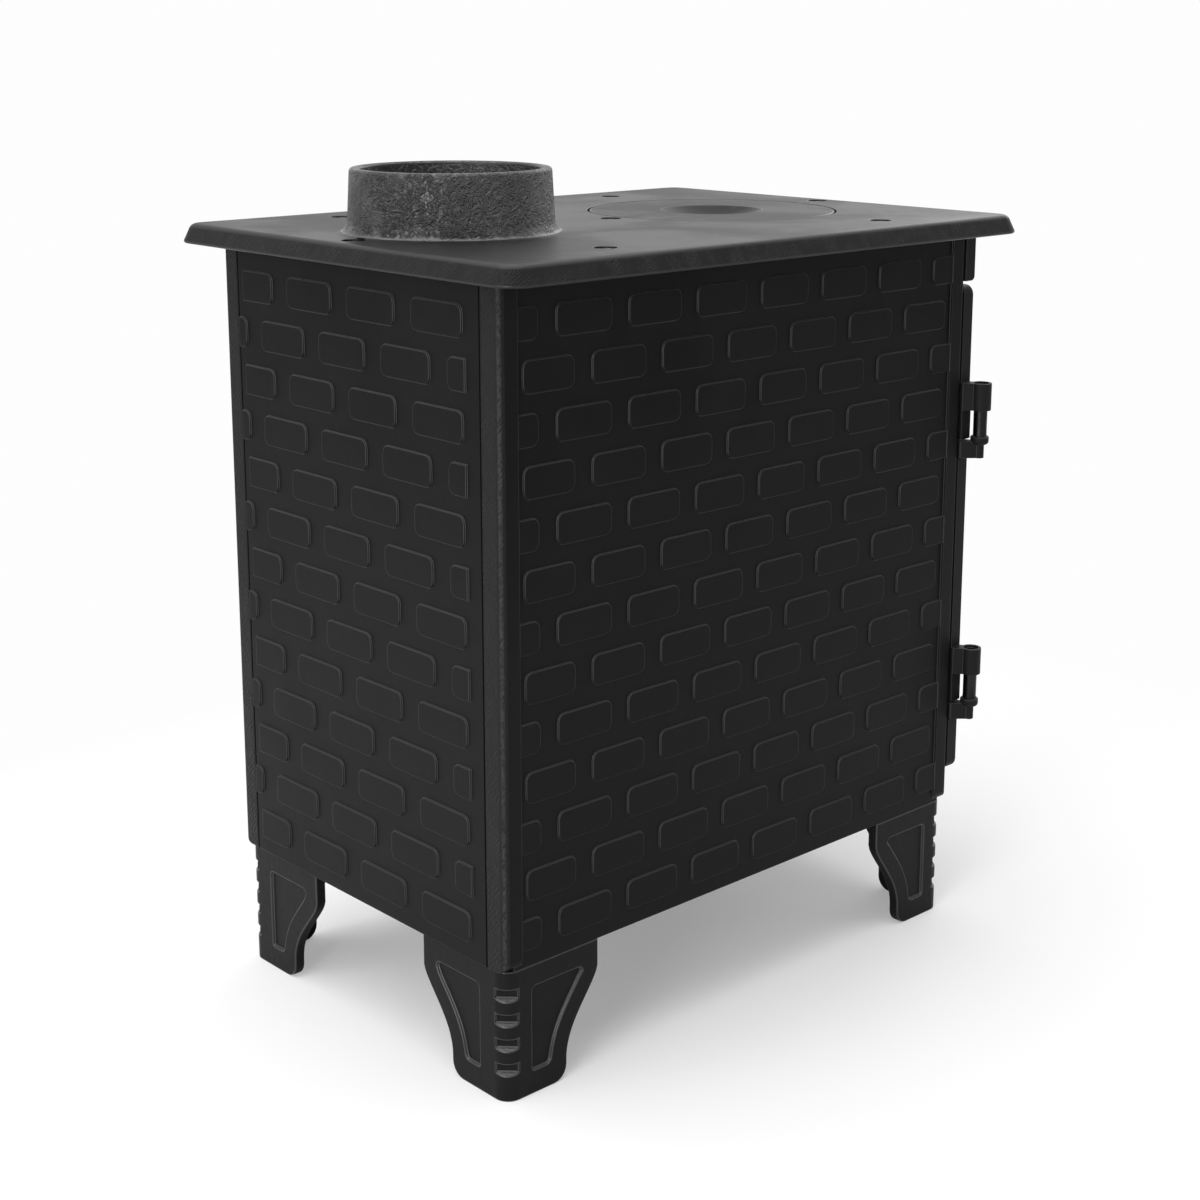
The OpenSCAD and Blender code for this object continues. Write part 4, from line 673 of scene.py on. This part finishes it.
# The hollow is painted darker than the lid: painted shade in the bowl.
shaded_hollow_iron = cast_iron("shaded_hollow_iron", base=0.005, rough=0.36, shine=0.11, grain_size=0.0020,
                        dimple_depth=0.3, depth=0.00008)
dress("hob_lid", lid_iron, shaded_hollow_iron, top_edge)
for face in nodes["hob_lid"].data.polygons:
    if face.center.z < hollow_top and face.normal.z > 0.5:
        face.material_index = 1
soften("hob_lid", 0.38*mm, angle=15)

# ---------------------------------------------------------------- hinge pins
# Turned pins, shouldered, blackened and driven into the front plate's lugs.
# The door lifts off them.

pin_steel = steel("pin_steel", base=0.022, rough=0.30, brush=0.6)
for name in ("hinge_pin_upper", "hinge_pin_lower"):
    dress(name, pin_steel)
    soften(name, 0.35*mm)

# ---------------------------------------------------------------- door
# One casting with a window, two knuckles that drop over the hinge pins, and
# slots for the air behind the disc.

dress("door", front_iron, front_edge)
soften("door", 0.38*mm)

# ---------------------------------------------------------------- air disc
# A round casting that turns on a screw to open and close the air slots.

disc_iron = cast_iron("disc_iron", base=0.011, rough=0.45, shine=0.2, dimple_depth=1.3)
dress("air_disc", disc_iron, front_edge)
soften("air_disc", 0.5*mm)
dress("air_screw", plated_steel)
soften("air_screw", 0.25*mm)

# ---------------------------------------------------------------- window
# Clear ceramic glass, slightly amber, smoked at its edges. Four pressed steel
# clips and four screws hold it in a pocket behind the door.

window_x = 90*mm                       # half the window's width
window_z = (294*mm, 490*mm)            # its lower and upper edge
smoke_in = 34*mm                       # how far the smoke reaches from an edge
clear_glass = (0.93, 0.88, 0.80)
smoked_glass = (0.34, 0.24, 0.14)

window_glass, tree, skin = new_material("window_glass")
skin.inputs["Transmission Weight"].default_value = 1.0
skin.inputs["IOR"].default_value = 1.5
place = place_of(tree)
x, _, z = axes_of(tree, place)
past_x = math_node(tree, "SUBTRACT", math_node(tree, "ABSOLUTE", x), window_x - smoke_in)
past_z = math_node(tree, "ABSOLUTE", math_node(tree, "SUBTRACT", z, sum(window_z)/2))
past_z = math_node(tree, "SUBTRACT", past_z, (window_z[1] - window_z[0])/2 - smoke_in)
wisps = math_node(tree, "SUBTRACT", noise(tree, place, 28, 5, 0.6, 0.8), 0.5)
past = math_node(tree, "ADD", math_node(tree, "MAXIMUM", past_x, past_z),
                 math_node(tree, "MULTIPLY", wisps, 0.05))
smoked = steps_between(tree, past, 0.0, smoke_in*1.3)
tree.links.new(blend_colours(tree, smoked, clear_glass, smoked_glass),
               skin.inputs["Base Color"])
tree.links.new(steps_between(tree, smoked, 0, 1, 0.02, 0.38), skin.inputs["Roughness"])
add_bump(tree, noise(tree, place, 30, 2), 0.00003)
dress("door_glass", window_glass)
soften("door_glass", 0.4*mm)

clip_steel = steel("clip_steel", base=0.30, rough=0.45, brush=1.4)
for name, width in (("glass_clips", 0.3*mm), ("clip_screws", 0.25*mm)):
    dress(name, clip_steel)
    soften(name, width)

# ---------------------------------------------------------------- glass gasket
# Flat tape woven from glass fibre, glued round the pocket between the glass
# and the door. Its four strips meet in mitres.

tape_low = (-97*mm, 287*mm)            # middle of the tape, x and z
tape_high = (97*mm, 497*mm)
tape_y = (-238.5*mm, -237.5*mm)        # its door side and its glass side
tape_half = 4.9*mm
tape_steps = 16                        # faces from one edge to the other
tape_rib = 1.2*mm                      # from one weft thread to the next
tape_relief = 0.12*mm


def tape_section(along):
    """Points round the tape at a place along it: how far each is across from the middle,
    and its y. The door side's come first, then the glass side's."""
    points = []
    across = [-tape_half + 2*tape_half*i/tape_steps for i in range(tape_steps + 1)]
    for y, inward, row in ((tape_y[0], 1, across), (tape_y[1], -1, across[::-1])):
        for v in row:
            weave = 0.5*math.cos(2*math.pi*along/tape_rib)*math.cos(2*math.pi*v/tape_rib)
            points.append((v, y + inward*tape_relief*(0.5 + inward*weave)))
    return points


def closed_tube(name, rings):
    """A closed band of quads through rings of points, the last ring joined to the first."""
    points = [p for ring in rings for p in ring]
    n = len(rings[0])
    m = len(rings)
    faces = [(i*n + j, i*n + (j + 1) % n, ((i + 1) % m)*n + (j + 1) % n, ((i + 1) % m)*n + j)
             for i in range(m) for j in range(n)]
    mesh = bpy.data.meshes.new(name)
    mesh.from_pydata([tuple(p) for p in points], [], faces)
    mesh.update()
    for face in mesh.polygons:
        face.use_smooth = True
    tube = bpy.data.objects.new(name, mesh)
    scene.collection.objects.link(tube)
    return tube


corners = [(tape_low[0], tape_low[1]), (tape_high[0], tape_low[1]),
           (tape_high[0], tape_high[1]), (tape_low[0], tape_high[1])]
tape_mid = (tape_low[1] + tape_high[1])/2
rings = []
for k in range(4):
    a, b = corners[k], corners[(k + 1) % 4]
    length = abs(b[0] - a[0]) + abs(b[1] - a[1])
    steps = int(length/(tape_rib/4))
    for i in range(steps):
        share = i/steps
        ring = []
        for v, y in tape_section(share*length):
            # Each point lies on a rectangle that is |v| outside the tape's middle, so
            # the tape's inner half lies on its outer half.
            (x0, z0), (x1, z1) = [(x + math.copysign(v, x), z + math.copysign(v, z - tape_mid))
                                  for x, z in (a, b)]
            ring.append((x0 + share*(x1 - x0), y, z0 + share*(z1 - z0)))
        rings.append(ring)
tape = closed_tube("gasket_tape", rings)

fibre_dark = (0.17, 0.165, 0.155)
fibre_pale = (0.36, 0.35, 0.325)
fibre_grime = (0.10, 0.095, 0.09)
glass_fibre, tree, skin = new_material("glass_fibre")
skin.inputs["Sheen Weight"].default_value = 0.25
skin.inputs["Specular IOR Level"].default_value = 0.25
place = place_of(tree)
threads = noise(tree, place, 2200, 3, 0.6)
handled = steps_between(tree, noise(tree, place, 35, 4), 0.4, 0.7)
tree.links.new(blend_colours(tree, threads, fibre_dark, fibre_pale), skin.inputs["Base Color"])
paint_over(tree, math_node(tree, "MULTIPLY", handled, 0.5), fibre_grime)
tree.links.new(steps_between(tree, threads, 0, 1, 0.8, 0.95), skin.inputs["Roughness"])
add_bump(tree, threads, 0.00012)
tape.data.materials.append(glass_fibre)
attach(tape, "door")
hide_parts("glass_gasket")

# ---------------------------------------------------------------- door rope
# Round rope knitted from glass fibre, a closed loop glued in the groove behind
# the door. The face round the doorway presses it.

rope_low = (-137*mm, 135*mm)           # middle of the rope, x and z
rope_high = (137*mm, 539*mm)
rope_corner = 14*mm
rope_y = -236*mm
rope_r = 3.18*mm                       # a little under the plain solid's 3.2 mm
rope_sides = 24
plaits = 3                             # side by side on half the rope
plait_rate = 0.79/mm                   # radians of a plait's wave for a metre of rope
plait_depth = 0.55*mm
plait_round = 0.7                      # under 1, a plait's back is broader than its valley
ring_step = 0.65*mm


def rounded_loop(low, high, corner, step):
    """Points round a rectangle with rounded corners, each with its outward direction."""
    loop = []
    centres = [(high[0] - corner, high[1] - corner), (low[0] + corner, high[1] - corner),
               (low[0] + corner, low[1] + corner), (high[0] - corner, low[1] + corner)]
    for k, centre in enumerate(centres):
        bend_steps = int(corner*math.pi/2/step)
        for i in range(bend_steps):
            turn = math.pi/2*(k + i/bend_steps)
            out = (math.cos(turn), math.sin(turn))
            loop.append(((centre[0] + corner*out[0], centre[1] + corner*out[1]), out))
        after = centres[(k + 1) % 4]
        turn = math.pi/2*(k + 1)
        out = (math.cos(turn), math.sin(turn))
        run = math.hypot(after[0] - centre[0], after[1] - centre[1])
        run_steps = int(run/step)
        for i in range(run_steps):
            share = i/run_steps
            loop.append(((centre[0] + share*(after[0] - centre[0]) + corner*out[0],
                          centre[1] + share*(after[1] - centre[1]) + corner*out[1]), out))
    return loop


loop = rounded_loop(rope_low, rope_high, rope_corner, ring_step)
waves = round(len(loop)*ring_step*plait_rate/math.pi)    # plait crossings round the loop
rings = []
for i, (at, out) in enumerate(loop):
    along = math.pi*waves*i/len(loop)
    ring = []
    for j in range(rope_sides):
        turn = 2*math.pi*j/rope_sides
        over = abs(math.sin(plaits*turn + along))
        under = abs(math.sin(plaits*turn - along))
        r = rope_r - plait_depth*(1 - max(over, under)**plait_round)
        ring.append((at[0] + out[0]*r*math.cos(turn), rope_y + r*math.sin(turn),
                     at[1] + out[1]*r*math.cos(turn)))
    rings.append(ring)
rope = closed_tube("knitted_rope", rings)
rope.data.materials.append(glass_fibre)
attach(rope, "door")
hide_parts("door_rope")

# ---------------------------------------------------------------- handle
# A cast lever on a spindle through the door, with a turned grip of oiled
# hardwood on its tang. Inside, the latch tongue is held by a nut.

handle_iron = cast_iron("handle_iron", base=0.012, rough=0.40, shine=0.35, grain_size=0.001)
dress("handle_lever", handle_iron, front_edge)
soften("handle_lever", 0.5*mm)
dress("latch_tongue", handle_iron)
soften("latch_tongue", 0.4*mm)
dress("tongue_nut", plated_steel)
soften("tongue_nut", 0.3*mm)

wood_pale = (0.26, 0.135, 0.065)
wood_dark = (0.13, 0.060, 0.028)
wood_pore = (0.05, 0.024, 0.012)
grain_turn = (math.radians(4), math.radians(7), 0)

grip_wood, tree, skin = new_material("grip_wood")
skin.inputs["Specular IOR Level"].default_value = 0.4
skin.inputs["Coat Weight"].default_value = 0.15
skin.inputs["Coat Roughness"].default_value = 0.35
grown = stretched(tree, place_of(tree), (1.0, 1.0, 0.10), grain_turn)
figure = tree.nodes.new("ShaderNodeTexWave")
figure.inputs["Scale"].default_value = 95
figure.inputs["Distortion"].default_value = 5.0
figure.inputs["Detail"].default_value = 3.0
tree.links.new(grown, figure.inputs["Vector"])
rings_of_growth = figure.outputs["Fac"]
pores = steps_between(tree, noise(tree, grown, 2600, 2), 0.56, 0.68)
tree.links.new(blend_colours(tree, rings_of_growth, wood_dark, wood_pale),
               skin.inputs["Base Color"])
paint_over(tree, math_node(tree, "MULTIPLY", pores, 0.6), wood_pore)
tree.links.new(steps_between(tree, rings_of_growth, 0, 1, 0.36, 0.5), skin.inputs["Roughness"])
add_bump(tree, math_node(tree, "SUBTRACT", math_node(tree, "MULTIPLY", rings_of_growth, 0.4),
                         pores), 0.00008)
dress("handle_grip", grip_wood)
soften("handle_grip", 0.4*mm)

# ---------------------------------------------------------------- latch catch
# A small casting inside the doorway's edge that the tongue turns behind, held
# by two screws.

dress("latch_catch", handle_iron)
soften("latch_catch", 0.4*mm)
dress("catch_screws", plated_steel)
soften("catch_screws", 0.2*mm)
